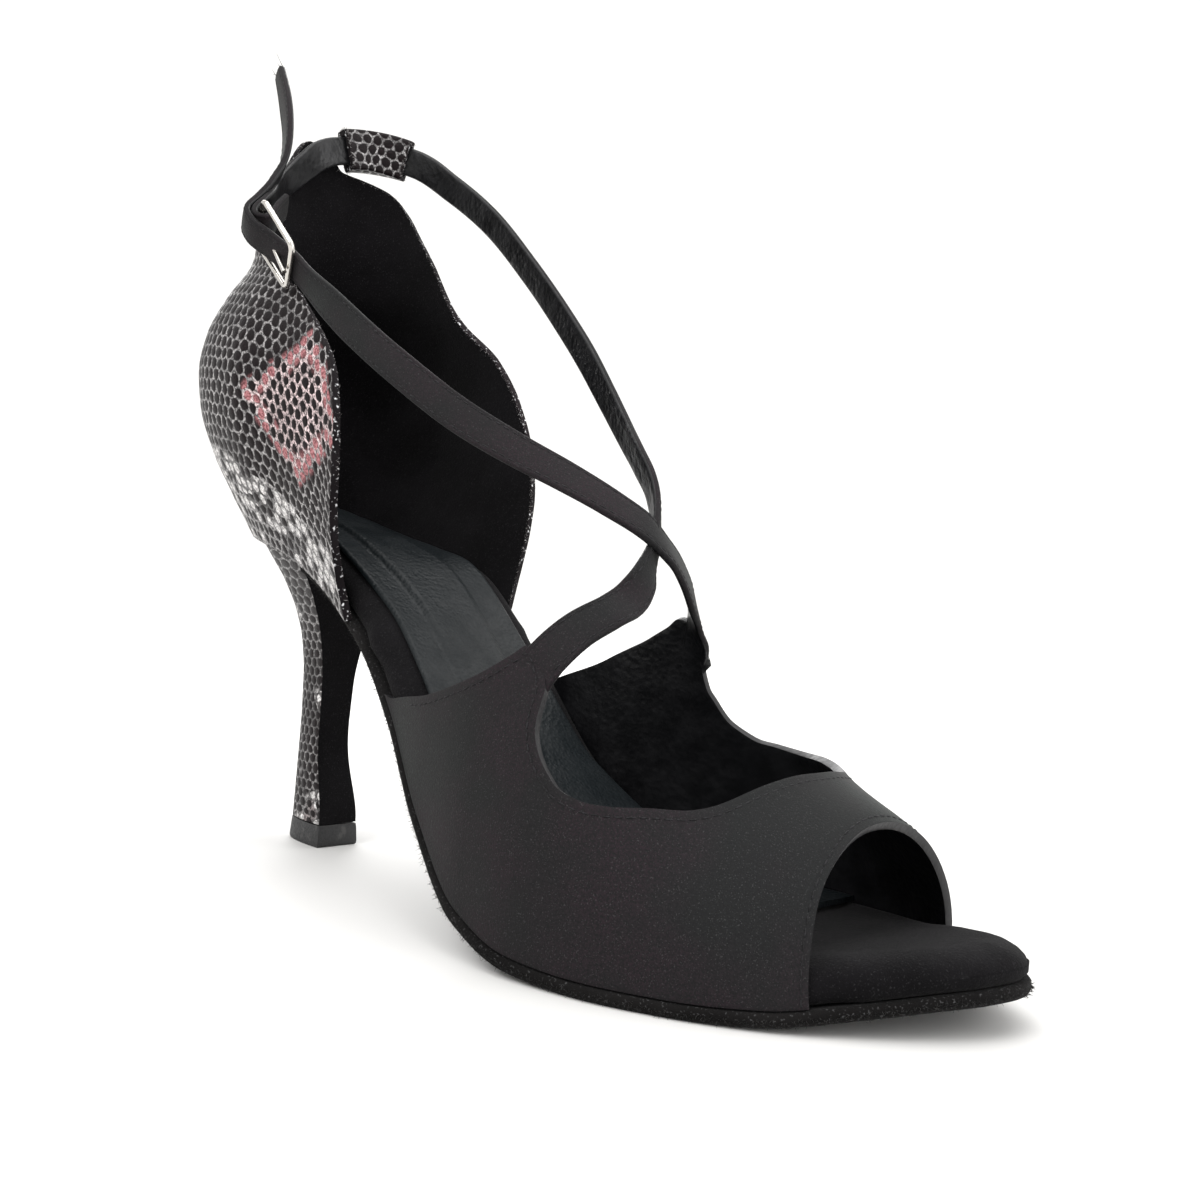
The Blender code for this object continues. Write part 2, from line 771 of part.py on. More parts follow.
def buckle_station(front, out, look):
    middle, ahead, up, away = buckle_axes()
    return buckle_point(front, 0.0, out), unit(ahead * look[0] + away * look[1])


# Ankle strap round the heel: row, height as a share of COUNTER_HEIGHT, and how far inside the
# counter it runs, as a share of INSIDE_REACH
ANKLE_COLUMNS = ("row", "height", "inside")
ANKLE_ROWS = (
    (1.40, 1.012, 0.5),
    (0.75, 0.992, 0.8),
    (0.35, 0.975, 1.0),
    (0.00, 0.956, 1.0),
    (-0.40, 0.925, 1.0),
    (-0.80, 0.892, 1.0),
    (-1.25, 0.859, 1.0),
    (-1.80, 0.828, 0.9),
)
LOOP_STATION = -8.15
INSIDE_REACH = COUNTER_WALL + SLIDE_GAP + STRAP_THICK / 2


def medial_strap_stations():
    """From inside the lateral wing over the instep, along the medial ankle and round to the buckle."""
    stations = [foot_point(*place, ROOT_STAND) for place in MEDIAL_STRAP_ROOT]
    stations += free_points(MEDIAL_STRAP_FREE)
    for row, height, inside in ANKLE_ROWS:
        place, out = cup_point(row, height * COUNTER_HEIGHT, -inside * INSIDE_REACH)
        stations.append((place, out))
    return stations


FOLD_TURN = 50
FLAP_LENGTH = 0.0085


def fold_stations():
    """The ankle strap's end, folded round the buckle's back bar, and its cut flap."""
    stations = []
    away = math.radians(FOLD_TURN + 180)
    leave = np.array([math.cos(away), math.sin(away)])
    side = np.array([-leave[1], leave[0]])

    def station(along, across, look):
        front, out = leave * along - side * across
        return buckle_station(front - BAR_REACH, out, look)

    stations.append(station(0.004, LAYER * 0.93, -side))
    for degrees in (90, 45, 0, -45, -90):
        a = math.radians(FOLD_TURN + degrees)
        look = np.array([math.cos(a), math.sin(a)])
        stations.append(buckle_station(LAYER * look[0] - BAR_REACH, LAYER * look[1], look))
    stations.append(station(FLAP_LENGTH * 0.5, -LAYER * 0.9, side))
    stations.append(station(FLAP_LENGTH, -LAYER * 0.95, side))
    return stations


def lateral_strap_stations():
    """From inside the medial wing over the crossing, along the lateral ankle and up to the buckle."""
    stations = [foot_point(*place, ROOT_STAND) for place in LATERAL_STRAP_ROOT]
    return stations + free_points(LATERAL_STRAP_FREE)


TAIL_ROWS = (
    (-0.013, -0.373, 0.770, -0.45, -0.85, 0.10),
    (-0.017, -0.332, 0.812, -0.40, -0.88, 0.12),
    (-0.023, -0.300, 0.844, -0.42, -0.88, 0.10),
    (-0.027, -0.274, 0.880, -0.44, -0.88, 0.10),
    (-0.034, -0.255, 0.921, -0.45, -0.88, 0.10),
    (-0.048, -0.236, 0.976, -0.46, -0.87, 0.12),
    (-0.069, -0.217, 1.030, -0.47, -0.86, 0.16),
    (-0.091, -0.199, 1.076, -0.50, -0.84, 0.20),
    (-0.112, -0.183, 1.117, -0.52, -0.82, 0.25),
)


def tail_stations():
    """Through the buckle and up to the free end."""
    stations = [
        buckle_station(BAR_REACH + 0.0040, -LAYER - 0.0004, (0, 1)),
        buckle_station(BAR_REACH + 0.0010, -LAYER, (0.15, 1)),
        buckle_station(0.0, 0.0010, (0.45, 1)),
        buckle_station(-BAR_REACH + 0.0020, TAIL_OUT - 0.0003, (0.3, 1)),
        buckle_station(-BAR_REACH - 0.0012, TAIL_OUT - 0.0004, (-0.3, 1)),
    ]
    return stations + free_points(TAIL_ROWS)


def strap_object(name, stations, material, group, width=STRAP_WIDTH, widths=None):
    rows = ribbon(stations, width, widths)
    obj = place_object(name, sheet_mesh(name, rows), material, group)
    add_wall(obj, STRAP_THICK, 0.0)
    return obj


def hide(obj):
    obj.hide_render = True
    obj.display_type = "WIRE"


def boolean(obj, other, operation):
    cut = obj.modifiers.new(operation.lower(), "BOOLEAN")
    cut.operation = operation
    cut.object = other
    cut.solver = "EXACT"
    return cut


def baked(obj, group, name):
    """The object as a plain mesh with its modifiers applied."""
    graph = bpy.context.evaluated_depsgraph_get()
    mesh = bpy.data.meshes.new_from_object(obj.evaluated_get(graph))
    material = obj.data.materials[0]
    bpy.data.objects.remove(obj)
    mesh.name = name
    mesh.materials.clear()
    return place_object(name, mesh, material, group)


def prong_ends():
    """The prong's line, from under the back bar up to the outside of the front bar."""
    rest = BUCKLE_WIRE / 2 + FIT_GAP + PRONG_WIRE / 2
    return (-BAR_REACH + rest, -0.0002), (BAR_REACH + 0.0010, rest + 0.0001)


def prong_cutter(group):
    """Room for the prong where it goes through the lateral strap."""
    (f0, o0), (f1, o1) = prong_ends()
    start, end = buckle_point(f0, 0, o0), buckle_point(f1, 0, o1)
    bm = bmesh.new()
    length = float(np.linalg.norm(end - start))
    bmesh.ops.create_cone(
        bm, cap_ends=True, segments=16, radius1=PRONG_WIRE / 2 + SLIDE_GAP,
        radius2=PRONG_WIRE / 2 + SLIDE_GAP, depth=length + 0.002,
    )
    way = Vector(end - start).normalized()
    turn = way.to_track_quat("Z", "Y").to_matrix().to_4x4()
    bm.transform(Matrix.Translation(Vector((start + end) / 2)) @ turn)
    mesh = finish_mesh("prong_room", bm)
    obj = place_object("prong_room", mesh, new_material("cutter", (1, 0, 0), 0.5), group)
    hide(obj)
    return obj


def slot_cutter(group):
    """The slot in the folded strap end where the prong's ring sits on the back bar."""
    middle, ahead, up, away = buckle_axes()
    bm = bmesh.new()
    bmesh.ops.create_cube(bm, size=1)
    reach = LAYER * 2 + STRAP_THICK + 0.0004
    size = Matrix.Diagonal((reach, PRONG_SLOT, reach, 1))
    axes = Matrix((Vector(ahead), Vector(up), Vector(away))).transposed().to_4x4()
    centre = buckle_point(-BAR_REACH)
    bm.transform(Matrix.Translation(Vector(centre)) @ axes @ size)
    mesh = finish_mesh("fold_slot", bm)
    obj = place_object("fold_slot", mesh, new_material("cutter", (1, 0, 0), 0.5), group)
    hide(obj)
    return obj


def make_upper(group, cutters):
    leather = new_material("black_nubuck", (0.015, 0.013, 0.014), 0.6)
    vamp = place_object("upper", sheet_mesh("upper", vamp_sheet()), leather, group)
    add_wall(vamp, UPPER_WALL)
    flare = ((0, 1, 4), (ROOT_WIDTH, ROOT_WIDTH, STRAP_WIDTH))
    medial_stations = medial_strap_stations() + fold_stations()
    medial = strap_object("medial_strap", medial_stations, leather, group, widths=flare)
    medial = baked(cut_by(medial, slot_cutter(cutters)), cutters, "medial_strap")
    lateral_stations = lateral_strap_stations() + tail_stations()
    last = len(lateral_stations) - 1
    widths = (
        (0, 1, 3, last - 4, last - 2, last),
        (ROOT_WIDTH, ROOT_WIDTH, STRAP_WIDTH, STRAP_WIDTH, 0.0064, 0.0042),
    )
    lateral = strap_object("lateral_strap", lateral_stations, leather, group, widths=widths)
    lateral = baked(cut_by(lateral, prong_cutter(cutters)), cutters, "lateral_strap")
    for strap in (medial, lateral):
        hide(strap)
        boolean(vamp, strap, "UNION")
    return vamp


def cut_by(obj, cutter):
    boolean(obj, cutter, "DIFFERENCE")
    bpy.context.view_layer.update()
    return obj


def make_strap_loop(group):
    """A flat sleeve round the ankle strap, seated on the counter's rim."""
    stations = medial_strap_stations()
    places = np.array([p for p, _ in stations])
    gaps = np.linalg.norm(np.diff(places, axis=0), axis=1)
    at = np.concatenate([[0], np.cumsum(gaps)])
    faces = np.array([f for _, f in stations])
    middle = np.interp(len(at) + LOOP_STATION, np.arange(len(at)), at)
    ends = np.linspace(middle - LOOP_LENGTH / 2, middle + LOOP_LENGTH / 2, 9)
    curve = chord_curve(places, at, ends)
    looks = through(faces, np.interp(ends, at, np.arange(len(at))))
    run = np.gradient(curve, axis=0)
    inner = (STRAP_WIDTH / 2 + SLIDE_GAP, STRAP_THICK / 2 + SLIDE_GAP)
    outer = (inner[0] + LOOP_WALL, inner[1] + LOOP_WALL)
    rings = []
    for place, look, way in zip(curve, looks, run):
        way = unit(way)
        look = unit(look - way * np.dot(look, way))
        across = np.cross(way, look)
        rings.append([
            [place + across * a * w + look * b * t for a, b in section_corners(sharp)]
            for (w, t), sharp in ((outer, 0.72), (inner, 0.94))
        ])
    bm = bmesh.new()
    sides = len(rings[0][0])
    verts = [[[bm.verts.new(p) for p in loop] for loop in ring] for ring in rings]
    for i in range(len(rings) - 1):
        for shell in (0, 1):
            for k in range(sides):
                n = (k + 1) % sides
                a, b = verts[i][shell], verts[i + 1][shell]
                bm.faces.new((a[k], a[n], b[n], b[k]))
    for end in (0, -1):
        for k in range(sides):
            n = (k + 1) % sides
            a, b = verts[end]
            bm.faces.new((a[k], a[n], b[n], b[k]))
    material = new_material("snake_leather_loop", (0.12, 0.10, 0.10), 0.4)
    return place_object("strap_loop", finish_mesh("strap_loop", bm), material, group)


def section_corners(square):
    """A rounded rectangle of half sizes 1 and 1: square is the share of each side that is straight."""
    corners = []
    for quarter in range(4):
        for degrees in (0, 45, 90):
            a = math.radians(quarter * 90 + degrees)
            corner = math.radians(quarter * 90 + 45)
            middle = np.sign([math.cos(corner), math.sin(corner)]) * square
            corners.append(middle + np.array([math.cos(a), math.sin(a)]) * (1 - square))
    return corners


def wire_object(name, points, wire, closed, material, group):
    """A wire through points, as a curve with a round bevel."""
    curve = bpy.data.curves.new(name, "CURVE")
    curve.dimensions = "3D"
    spline = curve.splines.new("POLY")
    spline.points.add(len(points) - 1)
    for slot, point in zip(spline.points, points):
        slot.co = (*point, 1)
    spline.use_cyclic_u = closed
    curve.bevel_depth = wire / 2
    curve.bevel_resolution = 2
    curve.use_fill_caps = not closed
    obj = bpy.data.objects.new(name, curve)
    curve.materials.append(material)
    group.objects.link(obj)
    return obj


def make_buckle(group):
    metal = new_material("buckle_metal", (0.75, 0.72, 0.68), 0.2, 1.0)
    half_long = BAR_REACH
    half_high = (BUCKLE_HEIGHT - BUCKLE_WIRE) / 2
    points = []
    for quarter in range(4):
        corner = math.radians(quarter * 90 + 45)
        cx = math.copysign(half_long - BUCKLE_CORNER, math.cos(corner))
        cy = math.copysign(half_high - BUCKLE_CORNER, math.sin(corner))
        for degrees in (0, 30, 60, 90):
            a = math.radians(quarter * 90 + degrees)
            front = cx + BUCKLE_CORNER * math.cos(a)
            bars = cy + BUCKLE_CORNER * math.sin(a)
            points.append(buckle_point(front, bars))
    frame = wire_object("buckle_frame", points, BUCKLE_WIRE, True, metal, group)
    ring = BUCKLE_WIRE / 2 + FIT_GAP + PRONG_WIRE / 2
    (f0, o0), (f1, o1) = prong_ends()
    path = []
    for degrees in range(-250, 1, 25):
        a = math.radians(degrees)
        path.append(buckle_point(-BAR_REACH + ring * math.cos(a), 0, ring * math.sin(a)))
    for share in (0.12, 0.5, 1.0):
        path.append(buckle_point(f0 + (f1 - f0) * share, 0, o0 + (o1 - o0) * share))
    prong = wire_object("buckle_prong", path, PRONG_WIRE, False, metal, group)
    return frame, prong


def main():
    for obj in list(bpy.data.objects):
        bpy.data.objects.remove(obj)
    group, cutters = collections()
    make_outsole(group)
    make_insole(group)
    make_sock(group)
    make_heel(group)
    make_heel_tip(group)
    make_counter(group)
    make_upper(group, cutters)
    make_strap_loop(group)
    make_buckle(group)


main()
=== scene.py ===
"""Looks of a peep-toe dance sandal: printed cup and heel, nubuck vamp and straps, suede sole.

Every piece is made on the same sizes and tables as the solids, in the same frame, in metres:
+X points to the toe, -Y to the outer side, +Z up.
"""
import math
from functools import lru_cache

import bmesh
import bpy
import numpy as np
from mathutils import Matrix, Vector

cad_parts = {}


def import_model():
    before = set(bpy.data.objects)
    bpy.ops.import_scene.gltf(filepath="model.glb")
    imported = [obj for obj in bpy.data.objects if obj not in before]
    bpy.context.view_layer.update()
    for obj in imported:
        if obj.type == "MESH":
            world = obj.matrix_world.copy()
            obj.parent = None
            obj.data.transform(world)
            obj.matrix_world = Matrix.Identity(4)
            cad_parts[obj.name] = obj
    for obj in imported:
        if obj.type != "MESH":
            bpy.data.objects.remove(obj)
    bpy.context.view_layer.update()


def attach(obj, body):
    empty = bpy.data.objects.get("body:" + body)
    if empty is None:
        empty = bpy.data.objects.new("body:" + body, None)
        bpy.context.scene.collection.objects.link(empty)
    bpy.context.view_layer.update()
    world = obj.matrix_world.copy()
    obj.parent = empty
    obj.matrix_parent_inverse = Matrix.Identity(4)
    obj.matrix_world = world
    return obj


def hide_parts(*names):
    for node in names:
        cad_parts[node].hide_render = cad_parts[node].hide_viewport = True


# The photo's view: turn round the vertical, tilt down and roll in degrees, place and lens
CAMERA_TURNS = (40.778, 0.549, 4.872)
CAMERA_PLACE = Vector((0.26550, -0.20893, 0.06772))
CAMERA_LENS = 40.62

# Printed scales, the bright lozenge at the cup's side (middle and half sizes on the unrolled
# leather), the insole's reach into the wall, stitches, and the rim rows of the peep toe
SCALE_SIZE = 0.0029
LOZENGE = (0.0775, 0.0385, 0.0200, 0.0155)
LOZENGE_LEAN = 0.22
SNUG_SHARE = 0.55
STITCH_INSET = 0.0017
STITCH_STEP = 0.0021
PEEP_FIRST = 20
PEEP_LAST = 27

# Sole: run from the heel tip's centre to the toe, width at the ball, drop from seat to floor
FOOT_RUN = 0.1772
BALL_WIDTH = 0.0805
HEEL_HEIGHT = 0.0655
ARCH_LIFT = 0.0105
ARCH_POWER = 1.6
OUTSOLE_THICK = 0.0025
OUTSOLE_WELT = 0.0006
INSOLE_THICK = 0.0065
SOCK_THICK = 0.0011
SOCK_PAD = 0.0013
TOE_DROP = 0.0013

# Heel: top lift, the heel's share of its size there, and the neck
LIFT_THICK = 0.0052
TIP_LENGTH = 0.0168
TIP_WIDTH = 0.0118
TIP_SHARE = 0.94
NECK_LENGTH = 0.0116
NECK_WIDTH = 0.0090
NECK_AHEAD = -0.0022
NECK_RISE = 0.030

# Upper
INSTEP_HEIGHT = 0.079
COUNTER_HEIGHT = 0.100
UPPER_WALL = 0.0016
COUNTER_WALL = 0.0018
CUP_BULGE = 0.0172
CUP_SIDE_BULGE = 0.0140
ANKLE_SPREAD = 0.0080
STRAP_WIDTH = 0.0071
STRAP_THICK = 0.0015
LOOP_WALL = 0.0013
LOOP_LENGTH = 0.0165

# Buckle: outer length along the strap, outer height across it, and its wire
BUCKLE_LENGTH = 0.0172
BUCKLE_HEIGHT = 0.0136
BUCKLE_WIRE = 0.0014
BUCKLE_CORNER = 0.0016
PRONG_WIRE = 0.0011

# Clearances between pieces
FIT_GAP = 0.0003
SLIDE_GAP = 0.0003

# Sole sections from the seat's back to the toe. along: share of FOOT_RUN. lateral and medial:
# shares of BALL_WIDTH. rise: share of HEEL_HEIGHT. arch: share of ARCH_LIFT at the medial edge.
# crown: share of INSTEP_HEIGHT, the foot's top above the sole's underside.
# Columns: along, lateral, medial, rise, arch, crown.
SOLE_ROWS = (
    (-0.125, 0.000, 0.000, 1.107, 0.00, 1.20), (-0.110, -0.106, 0.106, 1.100, 0.00, 1.20),
    (-0.068, -0.180, 0.180, 1.078, 0.00, 1.20), (0.000, -0.211, 0.205, 1.038, 0.00, 1.20),
    (0.057, -0.217, 0.209, 0.989, 0.10, 1.20), (0.125, -0.236, 0.219, 0.908, 0.43, 1.20),
    (0.204, -0.261, 0.236, 0.771, 0.95, 1.20), (0.305, -0.330, 0.241, 0.557, 0.60, 1.19),
    (0.412, -0.421, 0.273, 0.282, 0.12, 1.14), (0.520, -0.497, 0.360, 0.076, 0.00, 1.06),
    (0.604, -0.522, 0.432, 0.014, 0.00, 0.92), (0.689, -0.499, 0.476, 0.000, 0.00, 0.715),
    (0.768, -0.441, 0.467, 0.000, 0.00, 0.505), (0.847, -0.347, 0.417, 0.009, 0.00, 0.400),
    (0.910, -0.230, 0.342, 0.044, 0.00, 0.304), (0.960, -0.110, 0.258, 0.076, 0.00, 0.24),
    (0.989, -0.005, 0.176, 0.090, 0.00, 0.21), (1.000, 0.089, 0.089, 0.095, 0.00, 0.20),
)
BREAST_ROW = 3.85

# Heel columns: flare from the neck to the seat, as shares of the rise and of the spread
# Columns: rise, spread.
FLARE_ROWS = (
    (0.00, 0.00), (0.25, 0.03), (0.45, 0.12), (0.62, 0.29), (0.78, 0.54), (0.90, 0.79),
    (1.00, 1.00),
)

# Cup's outward bulge above its lower edge: height share of COUNTER_HEIGHT, share of the bulge,
# share of ANKLE_SPREAD
# Columns: height, bulge, spread.
CUP_ROWS = (
    (0.00, 0.00, 0.00), (0.08, 0.31, 0.00), (0.19, 0.69, 0.00), (0.30, 0.93, 0.02),
    (0.38, 0.98, 0.06), (0.46, 0.88, 0.14), (0.54, 0.62, 0.26), (0.65, 0.15, 0.50),
    (0.75, 0.02, 0.80), (0.90, 0.00, 1.00), (1.10, 0.00, 1.00),
)

# Counter's rim and the lower-edge place that each rim point stands over. Rows of the sole table
# count round the seat, lateral side negative. height: share of COUNTER_HEIGHT.
# Columns: rim_row, height, base_row.
COUNTER_RIM = (
    (-5.74, 0.00, -5.74), (-5.70, 0.08, -5.54), (-5.75, 0.155, -5.35), (-5.86, 0.24, -5.10),
    (-5.97, 0.31, -4.85), (-6.00, 0.385, -4.60), (-5.87, 0.465, -4.30), (-5.50, 0.53, -4.00),
    (-4.90, 0.570, -3.65), (-4.10, 0.602, -3.25), (-3.25, 0.625, -2.80), (-2.40, 0.660, -2.20),
    (-1.60, 0.735, -1.55), (-0.80, 0.890, -0.80), (-0.10, 0.995, -0.10), (0.40, 0.99, 0.40),
    (0.85, 0.945, 0.85), (1.30, 0.94, 1.30), (1.80, 0.925, 1.80), (2.20, 0.88, 2.40),
    (2.60, 0.81, 2.90), (3.20, 0.72, 3.40), (4.10, 0.62, 3.90), (5.10, 0.54, 4.35),
    (5.70, 0.43, 4.75), (6.00, 0.33, 5.15), (6.15, 0.24, 5.50), (6.20, 0.15, 5.85),
    (6.25, 0.00, 6.25),
)

# Vamp's rim and the lower-edge place that each rim point goes down to. Shares of FOOT_RUN, and
# degrees round the foot from the lateral edge over the crown to the medial edge.
# Columns: rim_along, rim_turn, edge_along, edge_turn.
VAMP_RIM = (
    (0.288, 0, 0.288, 0), (0.3054, 1.4, 0.304, 0), (0.3674, 9.4, 0.345, 0),
    (0.4249, 17.4, 0.380, 0), (0.4698, 24.5, 0.408, 0), (0.5052, 30.8, 0.430, 0),
    (0.5329, 36.4, 0.446, 0), (0.5480, 40.0, 0.458, 0), (0.5600, 41.0, 0.472, 0),
    (0.5740, 40.0, 0.488, 0), (0.5850, 37.5, 0.506, 0), (0.5855, 34.2, 0.528, 0),
    (0.5880, 31.6, 0.552, 0), (0.5971, 29.5, 0.580, 0), (0.6137, 27.8, 0.607, 0),
    (0.6312, 27.0, 0.638, 0), (0.654, 28, 0.678, 0), (0.689, 32, 0.728, 0),
    (0.717, 37.5, 0.784, 0), (0.745, 45, 0.842, 0), (0.761, 53, 0.880, 0), (0.772, 64, 0.873, 22),
    (0.780, 77, 0.863, 48), (0.784, 90, 0.857, 80), (0.778, 104, 0.858, 108),
    (0.762, 117, 0.860, 132), (0.736, 128, 0.862, 156), (0.703, 137, 0.858, 180),
    (0.666, 143.5, 0.801, 180), (0.632, 147.5, 0.739, 180), (0.601, 150, 0.683, 180),
    (0.572, 150.5, 0.632, 180), (0.5525, 148.6, 0.590, 180), (0.5453, 147.6, 0.565, 180),
    (0.5409, 143.5, 0.545, 180), (0.5414, 139.7, 0.530, 180), (0.5419, 136.6, 0.516, 180),
    (0.5318, 136.2, 0.502, 180), (0.5180, 137.3, 0.488, 180), (0.5002, 141.4, 0.474, 180),
    (0.4831, 145.2, 0.460, 180), (0.4640, 149.4, 0.445, 180), (0.4436, 153.5, 0.428, 180),
    (0.4169, 158.7, 0.408, 180), (0.3905, 163.8, 0.385, 180), (0.3608, 169.7, 0.360, 180),
    (0.3309, 175.8, 0.332, 180), (0.310, 180, 0.310, 180),
)

# Free stretch of each instep strap: along and across as shares of FOOT_RUN and BALL_WIDTH, above
# the sole as a share of COUNTER_HEIGHT, and the way the strap's face looks.
# Columns: along, across, above, face_x, face_y, face_z.
MEDIAL_STRAP_FREE = (
    (0.607, -0.217, 0.622, 0.75, 0.05, 0.65), (0.605, -0.166, 0.660, 0.80, 0.35, 0.45),
    (0.592, -0.109, 0.703, 0.75, 0.62, 0.20), (0.580, -0.065, 0.748, 0.62, 0.70, 0.30),
    (0.562, -0.028, 0.786, 0.50, 0.80, 0.30), (0.541, 0.000, 0.824, 0.47, 0.83, 0.30),
    (0.512, 0.031, 0.850, 0.42, 0.86, 0.30), (0.465, 0.087, 0.862, 0.34, 0.90, 0.28),
    (0.410, 0.143, 0.868, 0.26, 0.93, 0.26), (0.347, 0.193, 0.866, 0.20, 0.95, 0.24),
    (0.290, 0.230, 0.862, 0.18, 0.95, 0.26), (0.200, 0.273, 0.878, 0.16, 0.94, 0.30),
    (0.093, 0.308, 0.919, 0.10, 0.96, 0.28), (0.008, 0.317, 0.962, 0.00, 0.97, 0.24),
    (-0.056, 0.286, 1.006, -0.35, 0.92, 0.18),
)
LATERAL_STRAP_FREE = (
    (0.553, 0.195, 0.572, 0.70, 0.60, 0.40), (0.571, 0.118, 0.622, 0.85, 0.45, 0.30),
    (0.579, 0.068, 0.655, 0.85, 0.38, 0.36), (0.588, 0.005, 0.690, 0.85, 0.25, 0.46),
    (0.597, -0.090, 0.731, 0.80, 0.00, 0.60), (0.593, -0.134, 0.754, 0.72, -0.18, 0.66),
    (0.562, -0.190, 0.782, 0.60, -0.40, 0.68), (0.510, -0.242, 0.797, 0.50, -0.60, 0.62),
    (0.457, -0.286, 0.777, 0.42, -0.75, 0.50), (0.377, -0.335, 0.727, 0.30, -0.88, 0.36),
    (0.304, -0.360, 0.677, 0.20, -0.93, 0.30), (0.210, -0.366, 0.644, 0.08, -0.97, 0.20),
    (0.151, -0.358, 0.637, -0.05, -0.98, 0.00),
)

# Roots of the straps on the vamp's wings: share of FOOT_RUN, and degrees round the foot
MEDIAL_STRAP_ROOT = ((0.548, 32), (0.573, 42), (0.591, 51), (0.608, 60))
LATERAL_STRAP_ROOT = ((0.500, 152), (0.530, 143))

# How far the roots' stations stand out of the wings, and the first samples left out
ROOT_STANDS = (-0.0017, -0.0005, -0.0004, -0.0003)
FAR_STAND = -0.0008
HIDDEN_FRAMES = 2


def unit(v):
    v = np.asarray(v, float)
    return v / np.linalg.norm(v)


def eased(low, high, low_slope, high_slope, f):
    """Smooth values from low to high over f from 0 to 1, with a slope at each end."""
    h = f * f * (3 - 2 * f)
    return low * (1 - h) + high * h + low_slope * f * (1 - f) ** 2 - high_slope * f * f * (1 - f)


def through(rows, at):
    """Smooth values between a table's rows that never pass the rows' own values."""
    rows = np.asarray(rows, float)
    at = np.clip(np.asarray(at, float), 0, len(rows) - 1)
    steps = np.diff(rows, axis=0)
    before = np.vstack([steps[:1], steps])
    after = np.vstack([steps, steps[-1:]])
    both = before * after
    total = np.where(before + after == 0, 1, before + after)
    slopes = np.where(both > 0, 2 * both / total, 0)
    low = np.minimum(at.astype(int), len(rows) - 2)
    return eased(rows[low], rows[low + 1], slopes[low], slopes[low + 1], (at - low)[..., None])


def mirrored_ends(rows):
    """The sole's rows with one more past each end, where the two sides change places."""
    rows = [list(row) for row in rows]
    swap = lambda row: [row[0], row[2], row[1], *row[3:]]
    return np.array([swap(rows[1]), *rows, swap(rows[-2])])


SOLE = mirrored_ends(SOLE_ROWS)
LAST_ROW = len(SOLE_ROWS) - 1


def sole(row):
    """Sole section at a row: x, lateral y, medial y, underside z, arch and crown, in metres."""
    values = through(SOLE, np.asarray(row, float) + 1)
    sizes = (FOOT_RUN, BALL_WIDTH, BALL_WIDTH, HEEL_HEIGHT, ARCH_LIFT, INSTEP_HEIGHT)
    return values * np.array(sizes)


@lru_cache(maxsize=None)
def section(row):
    """The sole section at one row."""
    return sole(row)


FINE_ROWS = np.linspace(0, LAST_ROW, 1200)
FINE_ALONG = sole(FINE_ROWS)[:, 0] / FOOT_RUN


def row_at(along):
    """The sole row at a share of FOOT_RUN."""
    return float(np.interp(along, FINE_ALONG, FINE_ROWS))


@lru_cache(maxsize=None)
def outline(row, side):
    """A point of the sole's outline in plan, and its outward direction. side is -1 or 1."""
    step = 0.02
    column = 1 if side < 0 else 2

    def place(r):
        folded = abs(r)
        s = section(folded)
        return np.array([s[0], s[column] if r >= 0 else s[3 - column]])

    ahead = min(row + step, LAST_ROW)
    way = place(ahead) - place(row - step)
    out = unit((way[1] * -side, way[0] * side))
    return place(row), out


def under(row, y):
    """Height of the sole's underside at a row and a y."""
    s = section(row)
    width = max(s[2] - s[1], 1e-9)
    share = min(max((y - s[1]) / width, 0), 1)
    return s[3] + s[4] * share**ARCH_POWER


BASE_RISE = OUTSOLE_THICK + FIT_GAP

# Cup: sole rows over which its back's form fades, rows where the sides' bulge starts to shrink
# and over which it does, the share lost there, and the share of the spread lost at the back
BACK_ROWS = 1.9
FRONT_FROM, FRONT_ROWS = 3.0, 2.6
FRONT_LOSS = 0.42
BACK_LOSS = 0.75


def cup_point(signed_row, height, stand=0.0):
    """A point of the heel cup's outer face, height above its lower edge, and the way out."""
    row, side = abs(signed_row), -1 if signed_row < 0 else 1
    place, out = outline(row, side)
    base = under(row, place[1]) + BASE_RISE
    heights = [r[0] for r in CUP_ROWS]
    at = np.interp(height / COUNTER_HEIGHT, heights, np.arange(len(heights)))
    _, bulge, spread = through(CUP_ROWS, at)
    backness = math.exp(-((row / BACK_ROWS) ** 2))
    frontness = min(max((row - FRONT_FROM) / FRONT_ROWS, 0), 1)
    reach = CUP_SIDE_BULGE * (1 - FRONT_LOSS * frontness)
    reach = reach + (CUP_BULGE - reach) * backness
    widening = ANKLE_SPREAD * (1 - BACK_LOSS * backness)
    off = reach * bulge + widening * spread + stand
    return np.array([*(place + out * off), base + height]), np.array([*out, 0.0])


def foot_point(along, turn, stand=0.0):
    """A point of the foot's form over the forefoot, and the way out of it."""

    def place(a, degrees):
        s = section(row_at(a))
        theta = math.radians(degrees)
        share = (1 - math.cos(theta)) / 2
        y = s[1] + (s[2] - s[1]) * share
        foot = s[3] + s[4] * share**ARCH_POWER + BASE_RISE
        top = s[3] + s[5]
        return np.array([s[0], y, foot + (top - foot) * math.sin(theta)])

    ahead = place(along + 0.004, turn) - place(along - 0.004, turn)
    low, high = max(turn - 1, 0), min(turn + 1, 180)
    round_ = place(along, high) - place(along, low)
    out = unit(np.cross(ahead, round_)) * -1
    centre = place(along, 90) * np.array([1, 1, 0.5])
    if np.dot(out, place(along, turn) - centre) < 0:
        out = -out
    return place(along, turn) + out * stand, out


